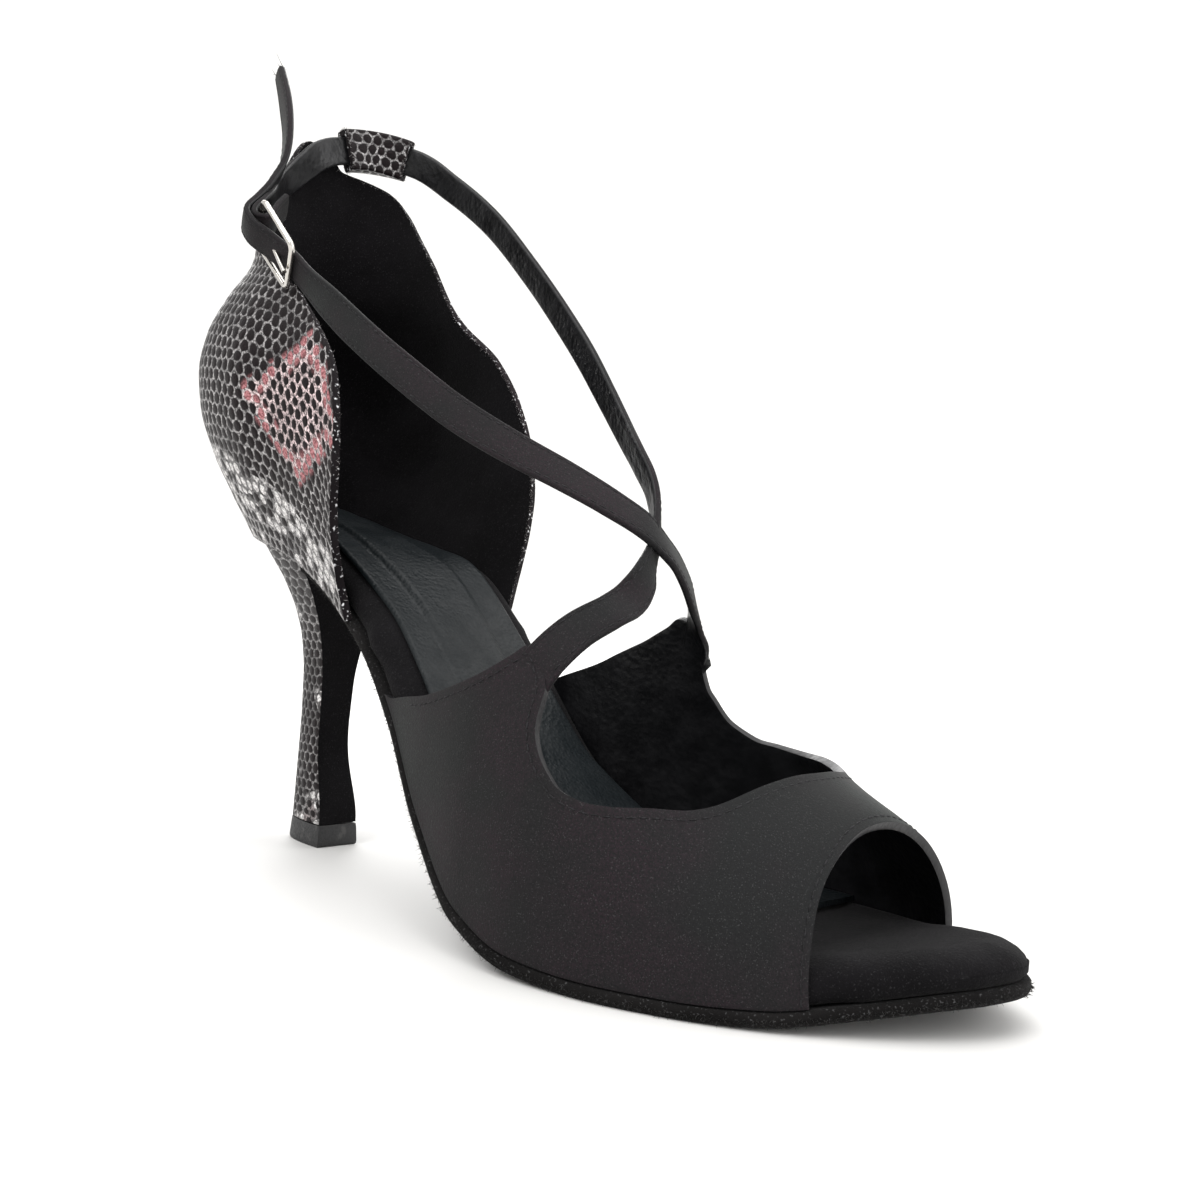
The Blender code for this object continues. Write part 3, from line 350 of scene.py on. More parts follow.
def plate_points(rows, levels, insets, columns, top_swell=None):
    """Block points of a plate that follows the sole. levels: (inset, height above the underside).

    insets are the outline's own insets at a row, on the lateral and on the medial side.
    """

    def edge(row, side, inset):
        place, out = outline(row, side)
        return place - out * (inset + insets[side > 0](row))

    def line(row, inset, height):
        a, b = edge(row, -1, inset), edge(row, 1, inset)
        points = []
        for share in np.linspace(0, 1, columns):
            x, y = a + (b - a) * share
            swell = top_swell(row, share, height) if top_swell else 0
            points.append((x, y, under(row, y) + height + swell))
        return points

    return [[line(row, *level) for row in rows] for level in levels]


def sole_rows(first, last, count):
    """Rows spread evenly, and closer together towards a rounded end of the outline."""
    rows = np.linspace(first, last, count)
    if last >= LAST_ROW:
        extra = LAST_ROW - np.array([0.55, 0.3, 0.12])
        rows = np.sort(np.append(rows, extra))
    if first <= 0:
        rows = np.sort(np.append(rows, [0.12, 0.3, 0.55]))
    return rows


# Sole rows by which the insole's narrow stretch outruns the upper's wall, and over which it widens
COVER_MARGIN = 0.28
COVER_FADE = 0.34


def covered(row, spans):
    """How far the upper covers the insole's edge at a row: 0 in the open, 1 covered."""
    amount = 0.0
    for first, last in spans:
        rising = (row - first) / COVER_FADE + 1 if first > 0 else 1.0
        amount = max(amount, min(rising, (last - row) / COVER_FADE + 1, 1.0))
    return max(amount, 0.0)


def vamp_span(side):
    """First and last sole row of the vamp's lower edge on a side."""
    turn = 0 if side < 0 else 180
    places = [row[2] for row in VAMP_RIM if row[3] == turn]
    return row_at(min(places)), row_at(max(places))


# Rows where the insole starts to grow thinner towards the toe, and over which it does
THIN_FROM, THIN_ROWS = 13.4, 2.4


def toe_drop(row, share, height):
    """The insole grows thinner towards the toe's tip."""
    if height < OUTSOLE_THICK + FIT_GAP + INSOLE_THICK * 0.4:
        return 0.0
    return -TOE_DROP * min(max((row - THIN_FROM) / THIN_ROWS, 0.0), 1.0)


# Sock lining: sole rows it covers, and its margins from the insole's outline, in metres
SOCK_FIRST_ROW = 0.45
SOCK_LAST_ROW = 11.7
SOCK_MARGINS = (
    (0.0045, 0.0045), (0.0045, 0.0045), (0.0040, 0.0050), (0.0058, 0.0060), (0.0075, 0.0065),
    (0.0080, 0.0060), (0.0080, 0.0060), (0.0110, 0.0110),
)
SOCK_MARGIN_ROWS = (0.0, 3.0, 5.0, 6.5, 8.0, 9.5, 11.5, 13.0)


def sock_margin(column):
    def inset(row):
        at = np.interp(row, SOCK_MARGIN_ROWS, np.arange(len(SOCK_MARGIN_ROWS)))
        return float(through(SOCK_MARGINS, at)[column])

    return inset


# The sock's pad: half its share of the sock's width, its middle row, half its length in rows, and
# its edge: where it ends, and over how much it rises
PAD_HALF_WIDTH = 0.26
PAD_MIDDLE, PAD_HALF_ROWS = 4.4, 3.5
PAD_EDGE, PAD_EDGE_SPAN = 1.25, 0.5


def pad_swell(row, share, height):
    """The sock's raised tongue, which ends round at both ends."""
    if height < OUTSOLE_THICK + INSOLE_THICK + 2 * FIT_GAP + SOCK_THICK * 0.5:
        return 0.0
    across, lengthwise = (share - 0.5) / PAD_HALF_WIDTH, (row - PAD_MIDDLE) / PAD_HALF_ROWS
    far = abs(across) ** 3 + abs(lengthwise) ** 4
    return SOCK_PAD * max(0.0, min(1.0, (PAD_EDGE - far) / PAD_EDGE_SPAN))


def d_section(count):
    """A D in plan from its round back (0) to its flat front (1): shares along and aside."""
    q = np.linspace(0, 1, count)
    return 1 - np.cos(q * math.pi / 2) ** 1.1, np.sin(q * math.pi / 2) ** 0.85


def heel_column(i, count, side_share, z_share, along, out):
    """One point of the heel between the tip and the seat."""
    row = BREAST_ROW * i / (count - 1)
    lateral, medial = outline(row, -1)[0], outline(row, 1)[0]
    seat = lateral + (medial - lateral) * side_share
    top = under(row, seat[1]) + OUTSOLE_THICK
    across = 2 * side_share - 1

    def d_place(length, width, middle):
        x = middle - length / 2 + length * along[i]
        return np.array([x, across * width / 2 * out[i]])

    tip = d_place(TIP_LENGTH * TIP_SHARE, TIP_WIDTH * TIP_SHARE, 0.0)
    neck = d_place(NECK_LENGTH, NECK_WIDTH, NECK_AHEAD)
    if z_share < 1:
        ease = z_share * z_share * (3 - 2 * z_share)
        ease = 1 - (1 - ease) ** 1.6
        xy = tip + (neck - tip) * ease
        z = LIFT_THICK + FIT_GAP + (NECK_RISE - LIFT_THICK - FIT_GAP) * z_share
        return (*xy, z)
    rise = z_share - 1
    rises = [r[0] for r in FLARE_ROWS]
    spread = float(through(FLARE_ROWS, np.interp(rise, rises, np.arange(len(rises))))[1])
    xy = neck + (seat - neck) * spread
    return (*xy, NECK_RISE + (top - NECK_RISE) * rise)


def band_rows(table, between):
    """Places along a table's rows: each row, and some between."""
    return np.linspace(0, len(table) - 1, (len(table) - 1) * between + 1)


def free_points(rows):
    """World points and faces of a strap's free stretch."""
    return [(perch(*row[:3]), unit(row[3:])) for row in rows]


# Distance between samples of a strap, nearly
STRAP_STEP = 0.0014


def chord_curve(places, at_station, at):
    """A smooth curve through places, spaced by the distance between them."""
    slopes = np.gradient(places, at_station, axis=0)
    low = np.clip(np.searchsorted(at_station, at, side="right") - 1, 0, len(places) - 2)
    span = (at_station[low + 1] - at_station[low])[:, None]
    f = (at - at_station[low])[:, None] / span
    return eased(places[low], places[low + 1], slopes[low] * span, slopes[low + 1] * span, f)


# Buckle's place: its middle in the same shares as the straps, the way to its front bar, and the
# way that its outer face looks
BUCKLE_MIDDLE = (0.039, -0.379, 0.692)
BUCKLE_AHEAD = (0.70, 0.05, -0.71)
BUCKLE_FACE = (-0.26, -0.91, -0.33)


def perch(along, across, above):
    """A point from shares of FOOT_RUN, BALL_WIDTH and, above the sole, COUNTER_HEIGHT."""
    foot = sole(row_at(along))[3] + BASE_RISE
    return np.array([along * FOOT_RUN, across * BALL_WIDTH, foot + above * COUNTER_HEIGHT])


def buckle_axes():
    """Middle, way to the front bar, way up along the bars, and way out of the ankle."""
    ahead = unit(BUCKLE_AHEAD)
    out = unit(BUCKLE_FACE - ahead * np.dot(BUCKLE_FACE, ahead))
    bars = np.cross(out, ahead)
    return perch(*BUCKLE_MIDDLE), ahead, bars * (1 if bars[2] > 0 else -1), out


def buckle_point(front, bars=0.0, out=0.0):
    """A point in the buckle's own axes."""
    middle, ahead, up, away = buckle_axes()
    return middle + ahead * front + up * bars + away * out


BAR_REACH = (BUCKLE_LENGTH - BUCKLE_WIRE) / 2
LAYER = BUCKLE_WIRE / 2 + SLIDE_GAP + STRAP_THICK / 2
TAIL_OUT = LAYER + STRAP_THICK + SLIDE_GAP


def buckle_station(front, out, look):
    """A strap's station in the buckle's own axes, and the way that its face looks there."""
    _, ahead, _, away = buckle_axes()
    return buckle_point(front, 0.0, out), unit(ahead * look[0] + away * look[1])


# Ankle strap round the heel: row, height as a share of COUNTER_HEIGHT, and how far inside the
# counter it runs, as a share of INSIDE_REACH
# Columns: row, height, inside.
ANKLE_ROWS = (
    (1.40, 1.012, 0.5), (0.75, 0.992, 0.8), (0.35, 0.975, 1.0), (0.00, 0.956, 1.0),
    (-0.40, 0.925, 1.0), (-0.80, 0.892, 1.0), (-1.25, 0.859, 1.0), (-1.80, 0.828, 0.9),
)
# The loop's middle, in stations counted back from the last one of these
LOOP_STATION = -8.15
INSIDE_REACH = COUNTER_WALL + SLIDE_GAP + STRAP_THICK / 2


def medial_strap_stations():
    """From inside the lateral wing over the instep, along the medial ankle and to the buckle."""
    stations = [foot_point(*place, stand) for place, stand in zip(MEDIAL_STRAP_ROOT, ROOT_STANDS)]
    ankle = [
        cup_point(row, height * COUNTER_HEIGHT, -inside * INSIDE_REACH)
        for row, height, inside in ANKLE_ROWS
    ]
    return stations + free_points(MEDIAL_STRAP_FREE) + ankle


# The fold round the back bar: its lean in degrees, and the length of its cut flap
FOLD_TURN = 50
FLAP_LENGTH = 0.0085


def fold_stations():
    """The ankle strap's end, folded round the buckle's back bar, and its cut flap."""
    stations = []
    away = math.radians(FOLD_TURN + 180)
    leave = np.array([math.cos(away), math.sin(away)])
    side = np.array([-leave[1], leave[0]])

    def station(along, across, look):
        front, out = leave * along - side * across
        return buckle_station(front - BAR_REACH, out, look)

    stations.append(station(0.004, LAYER * 0.93, -side))
    for degrees in (90, 45, 0, -45, -90):
        a = math.radians(FOLD_TURN + degrees)
        look = np.array([math.cos(a), math.sin(a)])
        stations.append(buckle_station(LAYER * look[0] - BAR_REACH, LAYER * look[1], look))
    stations.append(station(FLAP_LENGTH * 0.5, -LAYER * 0.9, side))
    stations.append(station(FLAP_LENGTH, -LAYER * 0.95, side))
    return stations


def lateral_strap_stations():
    """From inside the medial wing over the crossing, along the lateral ankle to the buckle."""
    stations = [foot_point(*place, FAR_STAND) for place in LATERAL_STRAP_ROOT]
    return stations + free_points(LATERAL_STRAP_FREE)


# The tail behind the buckle, in the columns of the straps' free stretches
TAIL_ROWS = (
    (-0.013, -0.373, 0.770, -0.45, -0.85, 0.10), (-0.017, -0.332, 0.812, -0.40, -0.88, 0.12),
    (-0.023, -0.300, 0.844, -0.42, -0.88, 0.10), (-0.027, -0.274, 0.880, -0.44, -0.88, 0.10),
    (-0.034, -0.255, 0.921, -0.45, -0.88, 0.10), (-0.048, -0.236, 0.976, -0.46, -0.87, 0.12),
    (-0.069, -0.217, 1.030, -0.47, -0.86, 0.16), (-0.091, -0.199, 1.076, -0.50, -0.84, 0.20),
    (-0.112, -0.183, 1.117, -0.52, -0.82, 0.25),
)


def tail_stations():
    """Through the buckle and up to the free end."""
    stations = [
        buckle_station(BAR_REACH + 0.0040, -LAYER - 0.0004, (0, 1)),
        buckle_station(BAR_REACH + 0.0010, -LAYER, (0.15, 1)),
        buckle_station(0.0, 0.0010, (0.45, 1)),
        buckle_station(-BAR_REACH + 0.0020, TAIL_OUT - 0.0003, (0.3, 1)),
        buckle_station(-BAR_REACH - 0.0012, TAIL_OUT - 0.0004, (-0.3, 1)),
    ]
    return stations + free_points(TAIL_ROWS)


def prong_ends():
    """The prong's line, from under the back bar up to the outside of the front bar."""
    rest = BUCKLE_WIRE / 2 + FIT_GAP + PRONG_WIRE / 2
    return (-BAR_REACH + rest, -0.0002), (BAR_REACH + 0.0010, rest + 0.0001)


def path_length(points):
    """Distance along a path at each of its points."""
    steps = np.linalg.norm(np.diff(np.asarray(points, float), axis=0), axis=1)
    return np.concatenate([[0.0], np.cumsum(steps)])


def rounded_ring(halves, corners, steps):
    """A rounded rectangle: its half sizes, and how far its corners' arcs reach along each."""
    halves, corners = np.array(halves), np.array(corners)
    ring = []
    for quarter in range(4):
        middle = math.radians(quarter * 90 + 45)
        signs = np.sign([math.cos(middle), math.sin(middle)])
        for degrees in np.linspace(0, 90, steps):
            a = math.radians(quarter * 90 + degrees)
            arc = np.array([math.cos(a), math.sin(a)]) * corners
            ring.append(signs * (halves - corners) + arc)
    return ring


def put(name, data):
    """A new object in the scene."""
    obj = bpy.data.objects.new(name, data)
    bpy.context.scene.collection.objects.link(obj)
    return obj


def mesh_of(name, bm, materials=()):
    """A mesh from a bmesh, which is used up."""
    mesh = bpy.data.meshes.new(name)
    bm.to_mesh(mesh)
    bm.free()
    for material in materials:
        mesh.materials.append(material)
    return mesh


def merged(bm):
    """The same bmesh without doubled points and faces of no size."""
    bmesh.ops.remove_doubles(bm, verts=bm.verts, dist=1e-6)
    bmesh.ops.dissolve_degenerate(bm, edges=bm.edges, dist=1e-7)
    return bm


def new_piece(name, bm, materials, node=None, sharp=50):
    """A finished piece from a bmesh: smooth, riding on the shoe, standing for a CAD node."""
    bmesh.ops.recalc_face_normals(merged(bm), faces=bm.faces)
    mesh = mesh_of(name, bm, materials)
    mesh.shade_smooth()
    mesh.set_sharp_from_angle(angle=math.radians(sharp))
    dress(put(name, mesh), node)


def dress(obj, node=None):
    """Rides a piece on the shoe, and hides the CAD node that it replaces."""
    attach(obj, "root")
    if node:
        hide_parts(node)


def uv_bmesh():
    """An empty bmesh with a UV map."""
    bm = bmesh.new()
    bm.loops.layers.uv.new("UVMap")
    return bm


def add_face(bm, corners, uvs, slot=0):
    """A face with its places on the unrolled sheet and the number of its material."""
    face = bm.faces.new(corners)
    face.material_index = slot
    layer = bm.loops.layers.uv["UVMap"]
    for loop, uv in zip(face.loops, uvs):
        loop[layer].uv = uv


def grid_cells(rows, columns):
    """The keys of the four corners of every cell in a grid."""
    for a in range(rows - 1):
        for b in range(columns - 1):
            yield (a, b), (a + 1, b), (a + 1, b + 1), (a, b + 1)


def block_piece(points, uvs=None, end_slot=0):
    """bmesh of the closed skin of points[level][along][across]. uvs: (u, v) by the same keys.

    end_slot is the number of the material of the last row's end and of the last level.
    """
    points = np.asarray(points, float)
    levels, rows, columns = points.shape[:3]
    bm = uv_bmesh()
    made = {}

    def vert(key):
        if key not in made:
            made[key] = bm.verts.new(points[key])
        return made[key]

    def sheet(a_count, b_count, key, slot=0):
        for corners in grid_cells(a_count, b_count):
            keys = [key(*corner) for corner in corners]
            places = [uvs(k) if uvs else points[k][:2] for k in keys]
            add_face(bm, [vert(k) for k in keys], places, slot)

    sheet(rows, columns, lambda a, b: (0, a, b))
    sheet(rows, columns, lambda a, b: (levels - 1, a, b), end_slot)
    for column in (0, columns - 1):
        sheet(levels, rows, lambda a, b: (a, b, column))
    sheet(levels, columns, lambda a, b: (a, 0, b))
    sheet(levels, columns, lambda a, b: (a, rows - 1, b), end_slot)
    return bm


def sheet_piece(points, uvs):
    """bmesh of an open sheet of points[along][across] with a UV map."""
    bm = uv_bmesh()
    verts = [[bm.verts.new(point) for point in line] for line in points]
    for keys in grid_cells(len(points), len(points[0])):
        add_face(bm, [verts[i][j] for i, j in keys], [uvs[i][j] for i, j in keys])
    return bm


def shell_piece(name, points, uvs, thick, materials, node):
    """A sheet with a wall behind it: the face outside, the lining inside and a cut edge."""
    obj = put(name, mesh_of(name, merged(sheet_piece(points, uvs)), materials))
    obj.data.shade_smooth()
    wall = obj.modifiers.new("wall", "SOLIDIFY")
    wall.thickness, wall.offset = thick, -1.0
    wall.material_offset, wall.material_offset_rim = 1, 2
    wall.use_rim = True
    rounded = obj.modifiers.new("edge", "BEVEL")
    rounded.width, rounded.segments = 0.0004, 2
    rounded.limit_method = "ANGLE"
    rounded.angle_limit = math.radians(50)
    dress(obj, node)


def make_outsole(finish):
    rows = sole_rows(BREAST_ROW + 0.06, LAST_ROW, 150)
    welt = lambda row: -OUTSOLE_WELT
    levels = (
        (0.0008, 0.0), (0.0002, 0.0004), (0.0, 0.0010), (0.0, OUTSOLE_THICK - 0.0006),
        (0.0004, OUTSOLE_THICK - 0.0001), (0.0012, OUTSOLE_THICK),
    )
    bm = block_piece(plate_points(rows, levels, (welt, welt), 24))
    new_piece("suede_outsole", bm, [finish["sole"]], "outsole")


def snug_inset(side):
    """Inset of the insole's edge, a little into the upper's wall so that no light passes."""
    first, last = vamp_span(side)
    heel_end = abs(COUNTER_RIM[0 if side < 0 else -1][2])
    spans = ((0.0, heel_end + COVER_MARGIN), (first - COVER_MARGIN, last + COVER_MARGIN))
    room = (max(COUNTER_WALL, UPPER_WALL) + FIT_GAP + 0.0002) * SNUG_SHARE
    return lambda row: room * covered(row, spans)


# The insole's rounded edge: inset from its outline, and depth below its top
INSOLE_EDGE = (
    (0.0, 0.0042), (0.0002, 0.0031), (0.0007, 0.0021), (0.0016, 0.0013), (0.0028, 0.0007),
    (0.0044, 0.0003), (0.0064, 0.0001), (0.0090, 0.0005),
)


def make_insole(finish):
    rows = sole_rows(0, LAST_ROW, 190)
    bottom = OUTSOLE_THICK + FIT_GAP
    top = bottom + INSOLE_THICK
    edge = [(inset, top - depth) for inset, depth in INSOLE_EDGE]
    levels = [(0.0008, bottom), (0.0, bottom + 0.0010), *edge]
    insets = (snug_inset(-1), snug_inset(1))
    bm = block_piece(plate_points(rows, levels, insets, 30, toe_drop))
    new_piece("suede_platform", bm, [finish["suede"]], "insole", 70)


def make_sock(finish):
    rows = sole_rows(SOCK_FIRST_ROW, SOCK_LAST_ROW, 200)
    bottom = OUTSOLE_THICK + FIT_GAP + INSOLE_THICK + FIT_GAP
    levels = ((0.0, bottom), (0.0, bottom + SOCK_THICK * 0.6), (0.0005, bottom + SOCK_THICK))
    insets = (sock_margin(0), sock_margin(1))
    bm = block_piece(plate_points(rows, levels, insets, 60, pad_swell))
    new_piece("sock_lining", bm, [finish["sock"]], "sock", 70)


# Heel: points round its D, across it, and levels below and above the neck
HEEL_ROUND = 41
HEEL_ACROSS = 21
HEEL_LOW = 22
HEEL_HIGH = 46


def make_heel(finish):
    """The covered heel: print leather round its back and sides, plain black on the breast."""
    along, out = d_section(HEEL_ROUND)
    shares = [*np.linspace(0, 1, HEEL_LOW), *(1 + np.linspace(0, 1, HEEL_HIGH)[1:])]
    sides, places = np.linspace(0, 1, HEEL_ACROSS), range(HEEL_ROUND)
    points = np.array([
        [[heel_column(i, HEEL_ROUND, side, share, along, out) for side in sides] for i in places]
        for share in shares
    ])
    round_ = path_length(points[HEEL_LOW, :, 0])

    def uvs(key):
        from_middle = key[2] - HEEL_ACROSS / 2
        side = -1 if from_middle < 0 else 1
        return side * round_[key[1]] + 0.004 * from_middle / HEEL_ACROSS, points[key][2]

    finishes = [finish["snake_small"], finish["suede"]]
    new_piece("covered_heel", block_piece(points, uvs, 1), finishes, "heel")


# Top lift: its levels' share of the full size, and their heights
LIFT_LEVELS = ((0.96, 0.0), (0.99, 0.0003), (1.0, 0.0008), (0.965, 0.0044), (0.945, LIFT_THICK))


def make_lift(finish):
    """The rubber top lift, with its softly worn lower edge."""
    along, out = d_section(HEEL_ROUND)
    points = []
    for grow, z in LIFT_LEVELS:
        length, width = TIP_LENGTH * grow, TIP_WIDTH * grow
        points.append([
            [(length * (a - 0.5), width / 2 * o * s, z) for s in np.linspace(-1, 1, 13)]
            for a, o in zip(along, out)
        ])
    new_piece("top_lift", block_piece(points), [finish["rubber"]], "heel_tip")


def counter_points(between=8, across=44):
    """The cup's outer face and its UV map, in metres round the heel and up."""
    fine = np.linspace(-6.4, 6.4, 400)
    around = path_length([cup_point(row, 0.035)[0] for row in fine])
    around = around - np.interp(0, fine, around)
    points, uvs = [], []
    for at in band_rows(COUNTER_RIM, between):
        rim_row, height, base_row = through(COUNTER_RIM, at)
        shares = np.linspace(0, 1, across)
        rows = base_row + (rim_row - base_row) * shares
        places = list(zip(rows, height * shares * COUNTER_HEIGHT))
        points.append([cup_point(*place)[0] for place in places])
        uvs.append([(np.interp(row, fine, around), rise) for row, rise in places])
    return points, uvs


def make_counter(finish):
    points, uvs = counter_points()
    finishes = [finish["suede"], finish["snake"], finish["cut_edge"]]
    shell_piece("counter_leather", points, uvs, COUNTER_WALL, finishes, "counter")
    return points


def vamp_points(between=6, across=34):
    """The vamp's outer face and its UV map: share along the rim, share from edge to rim."""
    points, uvs = [], []
    for at in band_rows(VAMP_RIM, between):
        rim, edge = np.split(through(VAMP_RIM, at), 2)
        shares = np.linspace(0, 1, across)
        points.append([foot_point(*(edge + (rim - edge) * s))[0] for s in shares])
        uvs.append([(at / len(VAMP_RIM), s) for s in shares])
    return points, uvs


def make_vamp(finish):
    points, uvs = vamp_points()
    finishes = [finish["nubuck"], finish["lining"], finish["edge"]]
    shell_piece("vamp_leather", points, uvs, UPPER_WALL, finishes, "upper")
    return points


def frames_of(curve, looks):
    """Place, way across and way out along a curve, from the ways that its face looks."""
    frames = []
    for place, look, way in zip(curve, looks, np.gradient(curve, axis=0)):
        way = unit(way)
        look = unit(look - way * np.dot(look, way))
        frames.append((place, np.cross(way, look), look))
    return frames


def strap_frames(stations, widths):
    """Samples along a strap: place, way across, way out and half width.

    stations are (place, way its face looks), widths are (station numbers, widths).
    """
    places, faces = (np.array(part) for part in zip(*stations))
    at_station = path_length(places)
    counts = [max(2, round(gap / STRAP_STEP)) for gap in np.diff(at_station)]
    index = np.concatenate([i + np.arange(n) / n for i, n in enumerate(counts)] + [[len(counts)]])
    at = np.interp(index, np.arange(len(places)), at_station)
    frames = frames_of(chord_curve(places, at_station, at), through(faces, index))
    return [(*frame, half) for frame, half in zip(frames, np.interp(index, *widths) / 2)]


# Half section of a strap: across as a share of half the width, height as a share of half the
# thickness. The face is crowned, its folded edges are round and the lining lies flat.
STRAP_SECTION = (
    (0.00, 1.10), (0.40, 1.08), (0.66, 1.00), (0.76, 0.86), (0.84, 0.94), (0.93, 0.90),
    (0.985, 0.60), (1.00, 0.15), (0.99, -0.40), (0.94, -0.85), (0.84, -1.00), (0.40, -1.00),
    (0.00, -1.00),
)
LINING_FROM = 8


def strap_piece(name, frames, finish):
    """A narrow strap with a crowned face, a stitched channel at each edge and a flat lining."""
    section = [*STRAP_SECTION, *((-a, h) for a, h in reversed(STRAP_SECTION[1:-1]))]
    sides = len(section)
    bm = uv_bmesh()
    lengths = path_length([frame[0] for frame in frames])
    rings = [
        [bm.verts.new(place + across * a * half + look * h * STRAP_THICK / 2) for a, h in section]
        for place, across, look, half in frames
    ]
    for i in range(len(rings) - 1):
        for k in range(sides):
            n = (k + 1) % sides
            keys = ((i, k), (i + 1, k), (i + 1, n), (i, n))
            uvs = [(lengths[a], section[b][0] * frames[a][3]) for a, b in keys]
            lined = min(k, sides - 1 - k) >= LINING_FROM
            add_face(bm, [rings[a][b] for a, b in keys], uvs, int(lined))
    for ring in (rings[0], rings[-1]):
        add_face(bm, ring, (), 1)
    new_piece(name, bm, [finish["nubuck"], finish["lining"]])


# Widths of the medial strap: numbers of stations, and widths there
MEDIAL_WIDTHS = ((0, 0.5, 1, 2, 3), (0.0110, 0.0095, 0.0086, 0.0078, STRAP_WIDTH))
LATERAL_WIDTHS = (0.0056, 0.0063, STRAP_WIDTH, STRAP_WIDTH, 0.0064, 0.0042)


def make_straps(finish):
    """Both straps. Returns the frames along each."""
    medial = strap_frames(medial_strap_stations() + fold_stations(), MEDIAL_WIDTHS)
    stations = lateral_strap_stations() + tail_stations()
    last = len(stations) - 1
    numbers = (0, 1, 3, last - 4, last - 2, last)
    lateral = strap_frames(stations, (numbers, LATERAL_WIDTHS))
    strap_piece("medial_strap", medial[HIDDEN_FRAMES:], finish)
    strap_piece("lateral_strap", lateral, finish)
    return medial[HIDDEN_FRAMES:], lateral


def make_loop(finish):
    """The print-leather sleeve round the ankle strap. Returns the rings of its outer face."""
    places, faces = (np.array(part) for part in zip(*medial_strap_stations()))
    at = path_length(places)
    numbers = np.arange(len(at))
    middle = np.interp(len(at) + LOOP_STATION, numbers, at)
    along = np.linspace(middle - LOOP_LENGTH / 2, middle + LOOP_LENGTH / 2, 33)
    looks = through(faces, np.interp(along, at, numbers))
    inner = np.array([STRAP_WIDTH, STRAP_THICK]) / 2 + SLIDE_GAP
    shells = [
        rounded_ring(halves, halves * (1 - straight), 5)
        for halves, straight in ((inner + LOOP_WALL, 0.72), (inner, 0.94))
    ]
    rings = [
        [[place + across * a + look * b for a, b in shell] for shell in shells]
        for place, across, look in frames_of(chord_curve(places, at, along), looks)
    ]
    around = path_length(rings[0][0] + rings[0][0][:1])
    bm = uv_bmesh()
    verts = [[[bm.verts.new(p) for p in ring] for ring in pair] for pair in rings]
    sides, last = len(shells[0]), len(rings) - 1

    def band(first, second, i, j, slot):
        for k in range(sides):
            n = (k + 1) % sides
            keys = ((i, k), (i, k + 1), (j, k + 1), (j, k))
            uvs = [(along[a], around[b]) for a, b in keys]
            add_face(bm, (first[k], first[n], second[n], second[k]), uvs, slot)

    for i in range(last):
        for shell in (0, 1):
            band(verts[i][shell], verts[i + 1][shell], i, i + 1, shell)
    for end in (0, last):
        band(*verts[end], end, end, 2)
    finishes = [finish["snake"], finish["suede"], finish["cut_edge"]]
    new_piece("print_loop", bm, finishes, "strap_loop", 60)
    return [pair[0] for pair in rings]


def wire_piece(name, points, wire, closed, finish, node):
    """A polished round wire through points."""
    curve = bpy.data.curves.new(name, "CURVE")
    curve.dimensions = "3D"
    spline = curve.splines.new("POLY")
    spline.points.add(len(points) - 1)
    for slot, point in zip(spline.points, points):
        slot.co = (*point, 1)
    spline.use_cyclic_u = closed
    curve.bevel_depth = wire / 2
    curve.bevel_resolution = 5
    curve.use_fill_caps = not closed
    obj = put(name, curve)
    bm = bmesh.new()
    bm.from_mesh(bpy.data.meshes.new_from_object(obj.evaluated_get(graph())))
    bpy.data.objects.remove(obj)
    new_piece(name, bm, [finish["metal"]], node)


def make_buckle(finish):
    """The frame's ring of wire, and the prong from the back bar over the front one."""
    halves = (BAR_REACH, (BUCKLE_HEIGHT - BUCKLE_WIRE) / 2)
    ring = rounded_ring(halves, (BUCKLE_CORNER, BUCKLE_CORNER), 10)
    frame = [buckle_point(*corner) for corner in ring]
    wire_piece("polished_frame", frame, BUCKLE_WIRE, True, finish, "buckle_frame")
    wrap = BUCKLE_WIRE / 2 + FIT_GAP + PRONG_WIRE / 2
    path = []
    for degrees in range(-250, 1, 10):
        a = math.radians(degrees)
        path.append(buckle_point(-BAR_REACH + wrap * math.cos(a), 0, wrap * math.sin(a)))
    start, end = (np.array(place) for place in prong_ends())
    for share in np.linspace(0.1, 1, 6):
        front, out = start + (end - start) * share
        path.append(buckle_point(front, 0, out))
    wire_piece("polished_prong", path, PRONG_WIRE, False, finish, "buckle_prong")


def graph():
    bpy.context.view_layer.update()
    return bpy.context.evaluated_depsgraph_get()


def add_node(tree, kind, **settings):
    node = tree.nodes.new(kind)
    for name, value in settings.items():
        setattr(node, name, value)
    return node


def preset(node, **values):
    """Sets a node's inputs by their names, with _ for a space."""
    for name, value in values.items():
        node.inputs[name.replace("_", " ")].default_value = value
    return node


def join(*links):
    """Links nodes of one tree: (node, output, node, input) each."""
    for start, output, end, entry in links:
        start.id_data.links.new(start.outputs[output], end.inputs[entry])


